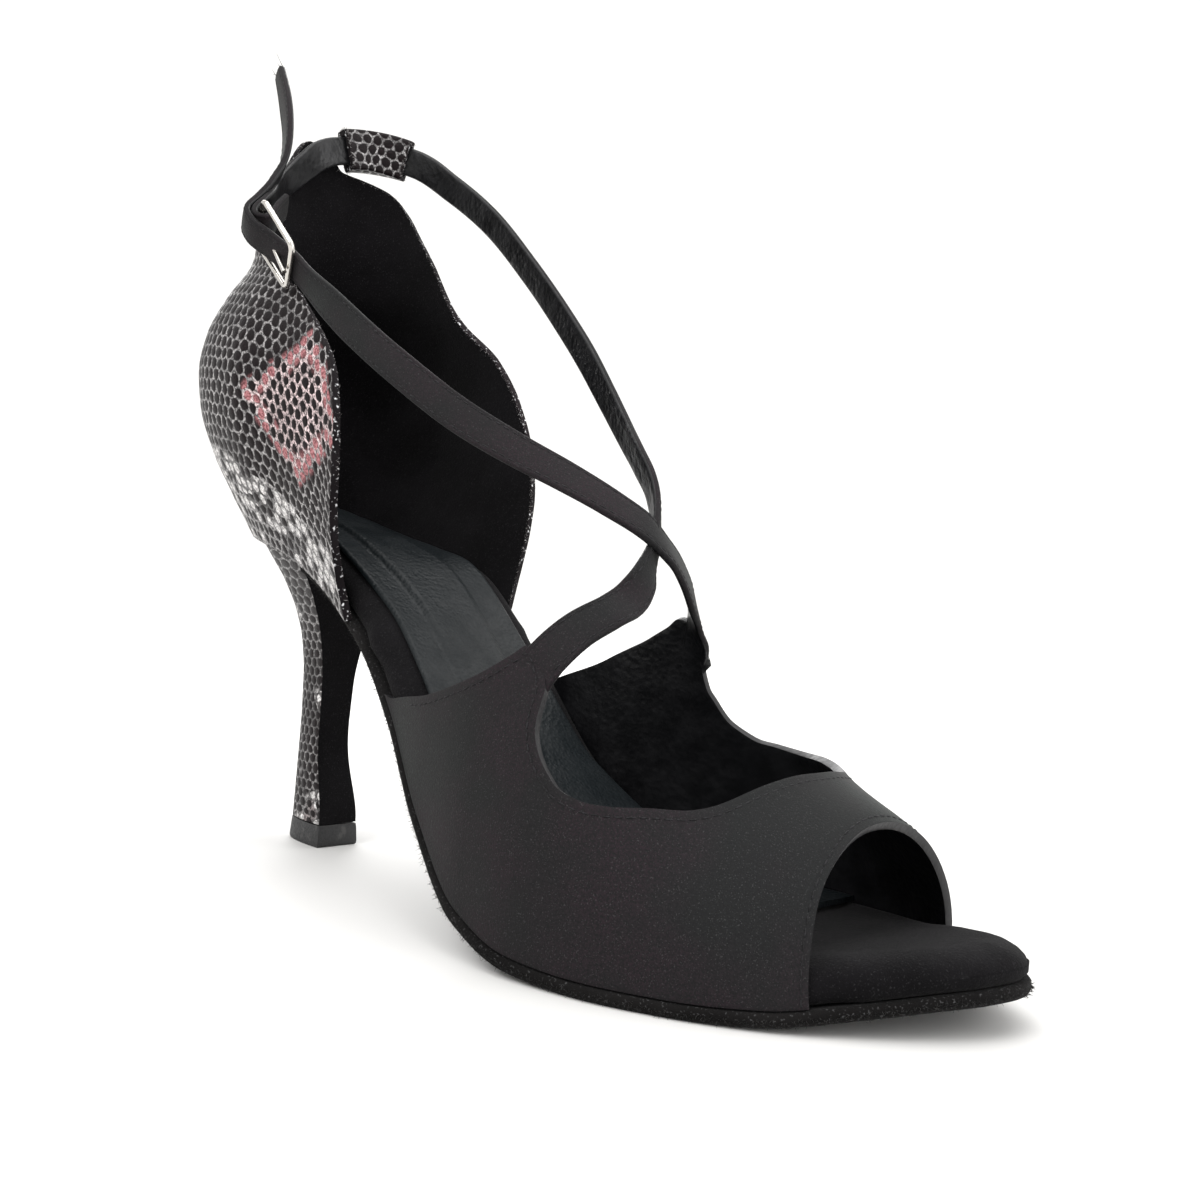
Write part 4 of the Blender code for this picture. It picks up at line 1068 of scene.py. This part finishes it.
def copies_tree(name, sizes, axis):
    """A Geometry Nodes tree that sets turned and scaled copies, made real in the given finish."""
    tree = bpy.data.node_groups.new(name, "GeometryNodeTree")
    kinds = {"Geometry": "Geometry", "Finish": "Material", "Seed": "Int"}
    for size in ("Geometry", *sizes, "Finish"):
        kind = "NodeSocket" + kinds.get(size, "Float")
        tree.interface.new_socket(size, in_out="INPUT", socket_type=kind)
    tree.interface.new_socket("Geometry", in_out="OUTPUT", socket_type="NodeSocketGeometry")
    given = add_node(tree, "NodeGroupInput")
    result = add_node(tree, "NodeGroupOutput")
    turned = add_node(tree, "FunctionNodeAlignRotationToVector", axis=axis)
    shape = add_node(tree, "ShaderNodeCombineXYZ")
    copies = add_node(tree, "GeometryNodeInstanceOnPoints")
    real = add_node(tree, "GeometryNodeRealizeInstances")
    painted = add_node(tree, "GeometryNodeSetMaterial")
    join(
        (turned, 0, copies, "Rotation"), (shape, 0, copies, "Scale"), (copies, 0, real, 0),
        (real, 0, painted, "Geometry"), (given, "Finish", painted, "Material"),
        (painted, 0, result, 0),
    )
    return tree, given, turned, shape, copies


def stitch_tree():
    """Stitches along every edge path of the mesh: one rounded thread in each step."""
    sizes = ("Step", "Length", "Thread")
    tree, given, turned, shape, copies = copies_tree("stitches", sizes, "X")
    curve = add_node(tree, "GeometryNodeMeshToCurve")
    spaced = add_node(tree, "GeometryNodeResampleCurve", mode="LENGTH")
    thread = preset(add_node(tree, "GeometryNodeMeshIcoSphere"), Radius=1.0, Subdivisions=2)
    way = add_node(tree, "GeometryNodeInputTangent")
    join(
        (given, "Geometry", curve, "Mesh"), (curve, 0, spaced, "Curve"),
        (given, "Step", spaced, "Length"), (way, 0, turned, "Vector"),
        (given, "Length", shape, "X"), (given, "Thread", shape, "Y"),
        (given, "Thread", shape, "Z"), (spaced, 0, copies, "Points"),
        (thread, "Mesh", copies, "Instance"),
    )
    return tree


# Loose fibres: how many on a square metre, shortest, longest, half width, lean and seed
FIBRE_INPUTS = ("Density", "Short", "Long", "Hair", "Lean", "Seed")
FIBRES = {
    "sole_fibres": (5.5e6, 0.0003, 0.0012, 0.00005, 1.1, 3),
    "print_fibres": (9e6, 0.0003, 0.0012, 0.00006, 1.2, 5),
    "tail_threads": (2.4e6, 0.001, 0.0045, 0.00008, 0.9, 8),
}


def fibre_tree():
    """Loose fibres standing on the mesh's faces at random, each a thin tapered hair."""
    tree, given, turned, shape, copies = copies_tree("fibres", FIBRE_INPUTS, "Z")
    spots = add_node(tree, "GeometryNodeDistributePointsOnFaces", distribute_method="RANDOM")
    hair = preset(
        add_node(tree, "GeometryNodeMeshCone"),
        Vertices=4, Side_Segments=2, Radius_Top=0.2, Radius_Bottom=1.0, Depth=1.0,
    )
    lean = add_node(tree, "FunctionNodeRandomValue", data_type="FLOAT_VECTOR")
    preset(lean, Min=(-1, -1, -1), Max=(1, 1, 1))
    spread = add_node(tree, "ShaderNodeVectorMath", operation="SCALE")
    lift = add_node(tree, "ShaderNodeVectorMath", operation="ADD")
    reach = add_node(tree, "FunctionNodeRandomValue", data_type="FLOAT")
    join(
        (given, "Geometry", spots, "Mesh"), (given, "Density", spots, "Density"),
        (given, "Seed", spots, "Seed"), (given, "Seed", lean, "Seed"),
        (given, "Lean", spread, "Scale"), (lean, "Value", spread, 0),
        (spots, "Normal", lift, 0), (spread, 0, lift, 1), (lift, 0, turned, "Vector"),
        (given, "Short", reach, 2), (given, "Long", reach, 3), (reach, 1, shape, "Z"),
        (given, "Hair", shape, "X"), (given, "Hair", shape, "Y"),
        (spots, "Points", copies, "Points"), (hair, "Mesh", copies, "Instance"),
    )
    return tree


def grown(name, mesh, tree, sizes, finish):
    """The plain mesh that a tree grows on a helper mesh, as a piece of its own."""
    helper = put(name + "_guide", mesh)
    modifier = helper.modifiers.new("grow", "NODES")
    modifier.node_group = tree
    for socket in tree.interface.items_tree:
        if socket.in_out == "INPUT" and socket.name != "Geometry":
            value = finish if socket.name == "Finish" else sizes[socket.name]
            modifier[socket.identifier] = value
    made = bpy.data.meshes.new_from_object(helper.evaluated_get(graph()))
    bpy.data.objects.remove(helper)
    made.name = name
    if not made.materials:
        made.materials.append(finish)
    made.shade_smooth()
    dress(put(name, made))


def bands_mesh(name, bands):
    """A mesh of narrow face bands, each between two paths of as many points."""
    bm = bmesh.new()
    for band in bands:
        a, b = ([bm.verts.new(point) for point in path] for path in band)
        for i in range(len(a) - 1):
            bm.faces.new((a[i], a[i + 1], b[i + 1], b[i]))
    return mesh_of(name, bm)


def inside_point(line, distance):
    """The point of a line at a distance from its start."""
    lengths = path_length(line)
    return [np.interp(distance, lengths, axis) for axis in np.transpose(line)]


def make_stitches(finish, points, medial, lateral):
    """The rows of stitches along the vamp's rims and the straps' edges."""
    per_row = (len(points) - 1) // (len(VAMP_RIM) - 1)
    kept = slice(per_row * 2, len(points) - per_row * 2)
    ends = np.array([line[-1] for line in points[kept]])
    rows = band_rows(VAMP_RIM, per_row)[kept]
    outs = [foot_point(*through(VAMP_RIM, at)[:2])[1] for at in rows]
    rim = [
        end + unit(np.cross(way, out)) * STITCH_INSET
        for end, way, out in zip(ends, np.gradient(ends, axis=0), outs)
    ]
    peep = points[per_row * PEEP_FIRST:per_row * PEEP_LAST + 1]
    paths = [rim, [inside_point(line, STITCH_INSET) for line in peep]]
    for frames in (medial[4:-16], lateral[4:-1]):
        for side in (-1, 1):
            paths.append([
                place + across * side * half * 0.76 + look * STRAP_THICK * 0.44
                for place, across, look, half in frames
            ])
    bm = bmesh.new()
    for path in paths:
        verts = [bm.verts.new(point) for point in path]
        for pair in zip(verts, verts[1:]):
            bm.edges.new(pair)
    sizes = {"Step": STITCH_STEP, "Length": STITCH_STEP * 0.40, "Thread": 0.00016}
    mesh = mesh_of("stitch_paths", bm)
    grown("stitches", mesh, stitch_tree(), sizes, finish["thread"])


def make_fuzz(finish, cup_lines, loop_rings, lateral):
    """Loose fibres on the raw suede edges, the print's cut edges and the tail's cut end."""
    tree = fibre_tree()

    def fuzz(name, bands, look):
        sizes = dict(zip(FIBRE_INPUTS, FIBRES[name]))
        grown(name, bands_mesh(name + "_bands", bands), tree, sizes, finish[look])

    bands = []
    for side in (-1, 1):
        low, high = [], []
        for row in sole_rows(BREAST_ROW + 0.1, LAST_ROW - 0.02, 160):
            place, out = outline(row, side)
            edge, z = place + out * OUTSOLE_WELT, under(row, place[1])
            low.append((*edge, z + 0.0005))
            high.append((*edge, z + 0.0015))
        bands.append((low, high) if side < 0 else (high, low))
    fuzz("sole_fibres", bands, "fibre")

    cup, loop = np.asarray(cup_lines), np.asarray(loop_rings)
    under_rim = [line[-1] + unit(line[-2] - line[-1]) * 0.0006 for line in cup]
    bands = [(cup[:, -1], under_rim)]
    for ring, inner in ((loop[0], loop[1]), (loop[-1], loop[-2])):
        inner = ring + (inner - ring) * 0.8
        bands.append([np.vstack([path, path[:1]]) for path in (ring, inner)])
    fuzz("print_fibres", bands, "pale_fibre")

    place, across, look, half = lateral[-1]
    face, back = (
        [place + across * half * s + look * height for s in (-1, -0.5, 0, 0.5, 1)]
        for height in (0.0006, -0.0006)
    )
    fuzz("tail_threads", [(face, back)], "fibre")


class Value:
    """A value in a shader tree. Reckoning with it adds the nodes that work the result out."""

    def __init__(self, socket):
        self.socket, self.tree = socket, socket.id_data

    def node(self, kind, given, output=0, **settings):
        """An output of a new node, with the inputs fed that are given by their keys."""
        made = add_node(self.tree, kind, **settings)
        for key, value in given.items():
            feed(made.inputs[key], value)
        return Value(made.outputs[output])

    def maths(self, operation, *values, **settings):
        given = dict(enumerate(values))
        return self.node("ShaderNodeMath", given, operation=operation, **settings)

    def __add__(self, other):
        return self.maths("ADD", self, other)

    def __sub__(self, other):
        return self.maths("SUBTRACT", self, other)

    def __rsub__(self, other):
        return self.maths("SUBTRACT", other, self)

    def __mul__(self, other):
        return self.maths("MULTIPLY", self, other)

    def __truediv__(self, other):
        return self.maths("DIVIDE", self, other)

    def __abs__(self):
        return self.maths("ABSOLUTE", self)

    def vector(self, operation, *others, output="Vector"):
        given = dict(enumerate((self, *others)))
        return self.node("ShaderNodeVectorMath", given, output, operation=operation)

    def ramp(self, low, high, out_low=0.0, out_high=1.0):
        """Eases from one value to another between two levels."""
        given = dict(enumerate((self, low, high, out_low, out_high)))
        return self.node("ShaderNodeMapRange", given, interpolation_type="SMOOTHSTEP")

    def mix(self, first, second):
        """A colour between two, by this share."""
        given = {0: self, 6: first, 7: second}
        return self.node("ShaderNodeMix", given, 2, data_type="RGBA")

    def noise(self, scale, detail=3.0, roughness=0.55, output=0):
        given = {"Vector": self, "Scale": scale, "Detail": detail, "Roughness": roughness}
        return self.node("ShaderNodeTexNoise", given, output)

    def cells(self, scale):
        """Distance from the middles of random cells."""
        return self.node("ShaderNodeTexVoronoi", {"Vector": self, "Scale": scale}, "Distance")


def feed(socket, value):
    """Links a socket to a Value, or sets it."""
    if isinstance(value, Value):
        value.tree.links.new(value.socket, socket)
    else:
        socket.default_value = (*value, 1) if socket.type == "RGBA" else value


def new_look(name):
    """A new material, and the places on the object that carries it."""
    material = bpy.data.materials.new(name)
    material.use_nodes = True
    places = add_node(material.node_tree, "ShaderNodeTexCoord")
    return material, Value(places.outputs["Object"])


SHADER_INPUTS = {
    "colour": "Base Color", "rough": "Roughness", "metal": "Metallic",
    "shine": "Specular IOR Level", "sheen": "Sheen Weight", "sheen_rough": "Sheen Roughness",
    "sheen_tint": "Sheen Tint", "glow": "Emission Color", "glow_strength": "Emission Strength",
}


def paint(material, height=None, depth=0.0, strength=1.0, **inputs):
    """Feeds the shader's inputs, and bumps its surface by a height and a depth in metres."""
    shader = material.node_tree.nodes["Principled BSDF"]
    for name, value in inputs.items():
        feed(shader.inputs[SHADER_INPUTS[name]], value)
    if height:
        given = {"Strength": strength, "Distance": depth, "Height": height}
        feed(shader.inputs["Normal"], height.node("ShaderNodeBump", given, "Normal"))
    return material


def nubuck():
    """Black nubuck: a fine nap with pale specks, a purple-brown cast and a grey-green bloom."""
    material, place = new_look("black_nubuck_look")
    patches = place.noise(38)
    nap = place.noise(2600, 2, 0.7)
    specks = place.noise(3900, 1).ramp(0.62, 0.74)
    cast = patches.ramp(0.36, 0.64).mix((0.0110, 0.0116, 0.0118), (0.0185, 0.0118, 0.0152))
    grain = nap.ramp(0.30, 0.72).mix((0.005, 0.005, 0.0055), cast)
    return paint(
        material, nap, 0.00012, 0.7, colour=(specks * 0.22).mix(grain, (0.12, 0.12, 0.12)),
        rough=nap.ramp(0.2, 0.8, 0.62, 0.86), shine=0.15,
        sheen=0.13, sheen_rough=0.36, sheen_tint=(0.62, 0.68, 0.64),
    )


def glossy_leather(name, colour, roughness, depth, scale):
    """Smooth leather with fine creases."""
    material, place = new_look(name)
    waves = place.noise(scale * 0.25, 5, 0.62)
    tone = waves.ramp(0.35, 0.7).mix(colour, tuple(c * 1.7 for c in colour))
    rough = waves.ramp(0.3, 0.7, roughness - 0.06, roughness + 0.08)
    height = place.cells(scale) * 0.7 + waves * 2.6
    return paint(material, height, depth, 0.6, colour=tone, rough=rough, shine=0.32)


def suede(name, colour, pale, scale, share):
    """Rough suede: a deep nap with paler fibre ends."""
    material, place = new_look(name)
    nap = place.noise(scale, 4, 0.7)
    ends = place.noise(scale * 2.1, 1).ramp(0.60, 0.76)
    dark, light = (tuple(c * level for c in colour) for level in (0.7, 1.4))
    tone = place.noise(60).ramp(0.3, 0.7).mix(dark, light)
    tone = (ends * share).mix(tone, (pale, pale, pale * 1.02))
    return paint(
        material, nap, 0.0003, 0.8, colour=tone, rough=0.93, shine=0.06,
        sheen=0.03, sheen_rough=0.5,
    )


def sock_leather():
    """Blue-grey lining leather with a pebbled grain and soft wrinkles."""
    material, place = new_look("sock_leather_look")
    wrinkles = place.noise(160, 4, 0.62)
    patches = place.noise(30, 2).ramp(0.3, 0.7)
    return paint(
        material, place.cells(1050) + wrinkles * 2.2, 0.00016, 0.7,
        colour=patches.mix((0.0038, 0.0056, 0.0066), (0.0070, 0.0094, 0.0108)),
        rough=wrinkles.ramp(0.3, 0.7, 0.38, 0.56), shine=0.22,
    )


def diamond(u, v, middle_u, middle_v, half_u, half_v):
    """Distance from a leaning diamond's middle on the unrolled leather: 1 on its edge."""
    past = u - middle_u
    return abs(past) / half_u + abs(v - middle_v - past * LOZENGE_LEAN) / half_v


def print_scales(uv, scale_size):
    """Rows of round scales: distance from a scale's middle in pitches, and the scale's luck."""
    wobble = uv.noise(240, 1.0, 0.5, "Color")
    shift = wobble.vector("SUBTRACT", (0.5, 0.5, 0.5)).vector("MULTIPLY", (0.5, 0.5, 0.0))
    place = uv.vector("MULTIPLY", (1 / scale_size, 1 / scale_size, 0.0))
    place = place.vector("ADD", (60.0, 60.0, 0.0)).vector("ADD", shift)
    pitch, half = (1.0, math.sqrt(3), 1.0), (0.5, math.sqrt(3) / 2, 0.0)
    first = place.vector("MODULO", pitch).vector("SUBTRACT", half)
    second = place.vector("ADD", half).vector("MODULO", pitch).vector("SUBTRACT", half)
    near, far = (way.vector("LENGTH", output="Value") for way in (first, second))
    given = {0: far.maths("LESS_THAN", far, near), 4: first, 5: second}
    chosen = far.node("ShaderNodeMix", given, 1, data_type="VECTOR")
    tile = place.vector("SUBTRACT", chosen).vector("ADD", (0.1, 0.1, 0.0))
    tile = tile.vector("SNAP", (0.25, 0.25, 1.0))
    luck = tile.node("ShaderNodeTexWhiteNoise", {"Vector": tile}, "Value", noise_dimensions="2D")
    return near.maths("MINIMUM", near, far), luck


def print_zones(uv, lozenge):
    """Shares of the print's zones: bright, its border, pale, and the pale zone's top rows.

    On the cup the bright one is the lozenge at its side, and the pale one a band low down.
    """
    if not lozenge:
        waves = uv.noise(70, 2)
        bright, pale = waves.ramp(0.60, 0.68), waves.ramp(0.54, 0.62)
        return bright, bright * 0.0, pale, pale * 0.4
    parts = add_node(uv.tree, "ShaderNodeSeparateXYZ")
    feed(parts.inputs[0], uv)
    u, v = abs(Value(parts.outputs[0])), Value(parts.outputs[1])
    shift = (uv.noise(90, 2) - 0.5) * 0.5
    inside = diamond(u, v, *lozenge) + shift
    border = inside.ramp(0.62, 0.82) * inside.ramp(1.16, 1.0)
    band = v + u * 0.155 + shift * 0.008
    pale = band.ramp(0.0275, 0.0252)
    return inside.ramp(1.08, 0.86), border, pale, pale * band.ramp(0.0180, 0.0212)


def snake_print(name, scale_size, lozenge):
    """Printed leather: dark round scales on a glittering silver net, with paler zones."""
    material, place = new_look(name)
    uv = place.node("ShaderNodeUVMap", {}, uv_map="UVMap")
    distance, luck = print_scales(uv, scale_size)
    bright, border, pale, top_rows = print_zones(uv, lozenge)

    # Fine glitter of the silver ground
    sparkle = uv.noise(1700, 2, 0.75)
    glitter = sparkle.ramp(0.40, 0.60, 0.10, 1.0)
    worn = uv.noise(420, 2).ramp(0.36, 0.60, 0.45, 1.0)
    dim = uv.noise(52, 1).ramp(0.36, 0.56, 0.45, 1.0)
    even, extra = (0.58, 0.55) if lozenge else (0.34, 0.2)
    level = dim * even + bright * extra
    level = level.maths("SUBTRACT", level, pale * 0.10, use_clamp=True)
    silver = bright.mix((0.80, 0.77, 0.77), (0.95, 0.76, 0.76))
    ground = (glitter * worn * level).mix((0.006, 0.004, 0.0045), silver)

    # The scales: their soft edges, and their rosy or white ones by luck
    radius = 0.425 - (bright * 0.05 + pale * 0.06)
    soft = (uv.noise(800, 2) - 0.5) * 0.22
    net = (distance + soft - radius).ramp(-0.035, 0.045)
    fill = sparkle.ramp(0.55, 0.75).mix((0.0040, 0.0016, 0.0022), (0.018, 0.008, 0.010))
    rosy = border * luck.ramp(0.30, 0.34)
    fill = rosy.mix(fill, glitter.mix((0.13, 0.035, 0.040), (0.46, 0.20, 0.21)))
    white = pale * luck.maths("GREATER_THAN", luck, 0.74 - top_rows * 0.44)
    fill = white.mix(fill, glitter.mix((0.22, 0.21, 0.21), (0.80, 0.78, 0.77)))
    return paint(
        material, distance.ramp(0.5, 0.1) * 0.8 + sparkle * 0.7, 0.00022, 0.8,
        colour=net.mix(fill, ground), rough=(net * glitter).ramp(0.0, 1.0, 0.48, 0.30),
        metal=net * 0.35, shine=net.ramp(0.0, 1.0, 0.14, 0.5),
    )


def polished_metal():
    material, place = new_look("polished_metal_look")
    marks = place.noise(700)
    tone = marks.mix((0.50, 0.47, 0.43), (0.70, 0.68, 0.65))
    return paint(material, colour=tone, metal=1.0, rough=marks.ramp(0.3, 0.7, 0.10, 0.24))


def lift_rubber():
    material, place = new_look("lift_rubber_look")
    grit = place.noise(1800)
    scuffs = place.noise(260, 4).ramp(0.56, 0.7)
    tone = scuffs.mix((0.013, 0.013, 0.014), (0.045, 0.044, 0.043))
    return paint(material, grit, 0.0001, 0.6, colour=tone, rough=grit.ramp(0.3, 0.7, 0.42, 0.66))


def thread_look(name, dark, light, roughness):
    """Thread or loose fibre, a little lighter in random spots: partly its own uneven tone, partly
    a painted highlight where it catches the light.
    """
    material, place = new_look(name)
    # Painted highlight mixed with uneven tone: random lighter spots where the thread catches the
    # light.
    tone = place.noise(1500, 2).ramp(0.4, 0.6).mix(dark, light)
    return paint(material, colour=tone, rough=roughness, shine=0.2)


def make_finishes():
    return {
        "nubuck": nubuck(),
        "lining": glossy_leather(
            "black_lining_look", (0.0042, 0.0042, 0.0048), 0.36, 0.00022, 700
        ),
        "edge": glossy_leather("burnished_edge_look", (0.009, 0.0085, 0.0095), 0.44, 0.00012, 900),
        "suede": suede("black_suede_look", (0.0042, 0.0038, 0.0044), 0.08, 1500, 0.20),
        "sole": suede("sole_suede_look", (0.0065, 0.006, 0.006), 0.14, 1000, 0.3),
        "cut_edge": suede("raw_edge_look", (0.010, 0.008, 0.009), 0.75, 520, 0.9),
        "sock": sock_leather(),
        "snake": snake_print("snake_print_look", SCALE_SIZE, LOZENGE),
        "snake_small": snake_print("snake_print_small_look", SCALE_SIZE * 0.84, None),
        "metal": polished_metal(),
        "rubber": lift_rubber(),
        "thread": thread_look("thread_look", (0.0030, 0.0028, 0.0032), (0.014, 0.013, 0.015), 0.6),
        "fibre": thread_look("dark_fibre_look", (0.008, 0.008, 0.008), (0.030, 0.029, 0.028), 0.8),
        "pale_fibre": thread_look(
            "pale_fibre_look", (0.030, 0.024, 0.026), (0.42, 0.40, 0.39), 0.7
        ),
    }


DAYLIGHT = (1, 0.995, 0.985)

# The floor, seen along the photo's view: where it starts, starts to rise and ends, its height
# there, half its width, and the place across which it is laid
FLOOR_NEAR, FLOOR_BEND, FLOOR_FAR = -1.2, 1.6, 3.0
FLOOR_HEIGHT = 1.6
FLOOR_HALF_WIDTH = 3.5
FLOOR_MIDDLE = (0.13, 0)


def make_floor():
    """A pale floor that curves up far behind the shoe, and glows more the farther it lies from the
    shoe: painted light.
    """
    turn = math.radians(CAMERA_TURNS[0])
    ahead = np.array([-math.sin(turn), math.cos(turn)])
    aside = np.array([math.cos(turn), math.sin(turn)]) * FLOOR_HALF_WIDTH
    left, right = [], []
    for along in np.linspace(FLOOR_NEAR, FLOOR_FAR, 40):
        past = max(along - FLOOR_BEND, 0) / (FLOOR_FAR - FLOOR_BEND)
        for path, side in ((left, -1), (right, 1)):
            path.append((*(FLOOR_MIDDLE + ahead * along + aside * side), FLOOR_HEIGHT * past**2))
    material, place = new_look("pale_floor_look")
    # Painted light: the floor glows more the farther it lies from the shoe, so that the far floor
    # stays white while the near floor keeps its shadows.
    glow = place.vector("LENGTH", output="Value").ramp(0.22, 1.1, 0.0, 0.36)
    colour = (0.66, 0.655, 0.645)
    paint(material, colour=colour, rough=0.6, shine=0.2, glow=DAYLIGHT, glow_strength=glow)
    mesh = bands_mesh("pale_floor", [(right, left)])
    mesh.shade_smooth()
    mesh.materials.append(material)
    put("pale_floor", mesh)


def soft_light(name, place, target, size, power):
    light = bpy.data.lights.new(name, "AREA")
    light.shape = "RECTANGLE"
    light.size, light.size_y = size
    light.energy = power
    obj = put(name, light)
    obj.location = place
    way = Vector(target) - Vector(place)
    obj.rotation_euler = way.to_track_quat("-Z", "Y").to_euler()


def make_lights():
    world = bpy.data.worlds.new("studio")
    bpy.context.scene.world = world
    world.use_nodes = True
    sky = world.node_tree.nodes["Background"]
    feed(sky.inputs["Color"], DAYLIGHT)
    feed(sky.inputs["Strength"], 1.0)
    middle = (0.10, 0.0, 0.06)
    soft_light("key", (0.10, -0.95, 1.05), middle, (0.8, 0.8), 9)
    soft_light("top", (0.25, 0.15, 1.25), middle, (1.2, 1.2), 9)
    soft_light("side", (1.10, 0.25, 0.50), middle, (0.6, 0.9), 6)
    soft_light("back", (-0.75, 0.55, 0.65), (0.0, 0.0, 0.10), (0.7, 0.7), 7)


def make_camera():
    """The photo's view: a little above the toe's outer side, rolled a few degrees."""
    turn, down, roll = (math.radians(v) for v in CAMERA_TURNS)
    level = Vector((-math.sin(turn), math.cos(turn), 0)) * math.cos(down)
    ahead = level - Vector((0, 0, math.sin(down)))
    right = Vector((math.cos(turn), math.sin(turn), 0))
    up = right.cross(ahead)
    aside = right * math.cos(roll) + up * math.sin(roll)
    above = -right * math.sin(roll) + up * math.cos(roll)
    camera = bpy.data.cameras.new("photo_view")
    camera.lens = CAMERA_LENS
    camera.sensor_width = 36
    camera.sensor_fit = "AUTO"
    camera.clip_start = 0.01
    obj = put("photo_view", camera)
    axes = Matrix((aside, above, -ahead)).transposed().to_4x4()
    obj.matrix_world = Matrix.Translation(CAMERA_PLACE) @ axes
    bpy.context.scene.camera = obj
    bpy.context.scene.view_settings.view_transform = "Standard"


def main():
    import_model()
    make_camera()
    make_lights()
    make_floor()
    finish = make_finishes()
    make_outsole(finish)
    make_insole(finish)
    make_sock(finish)
    make_heel(finish)
    make_lift(finish)
    cup_lines = make_counter(finish)
    vamp_lines = make_vamp(finish)
    medial, lateral = make_straps(finish)
    loop_rings = make_loop(finish)
    make_buckle(finish)
    make_stitches(finish, vamp_lines, medial, lateral)
    make_fuzz(finish, cup_lines, loop_rings, lateral)


main()
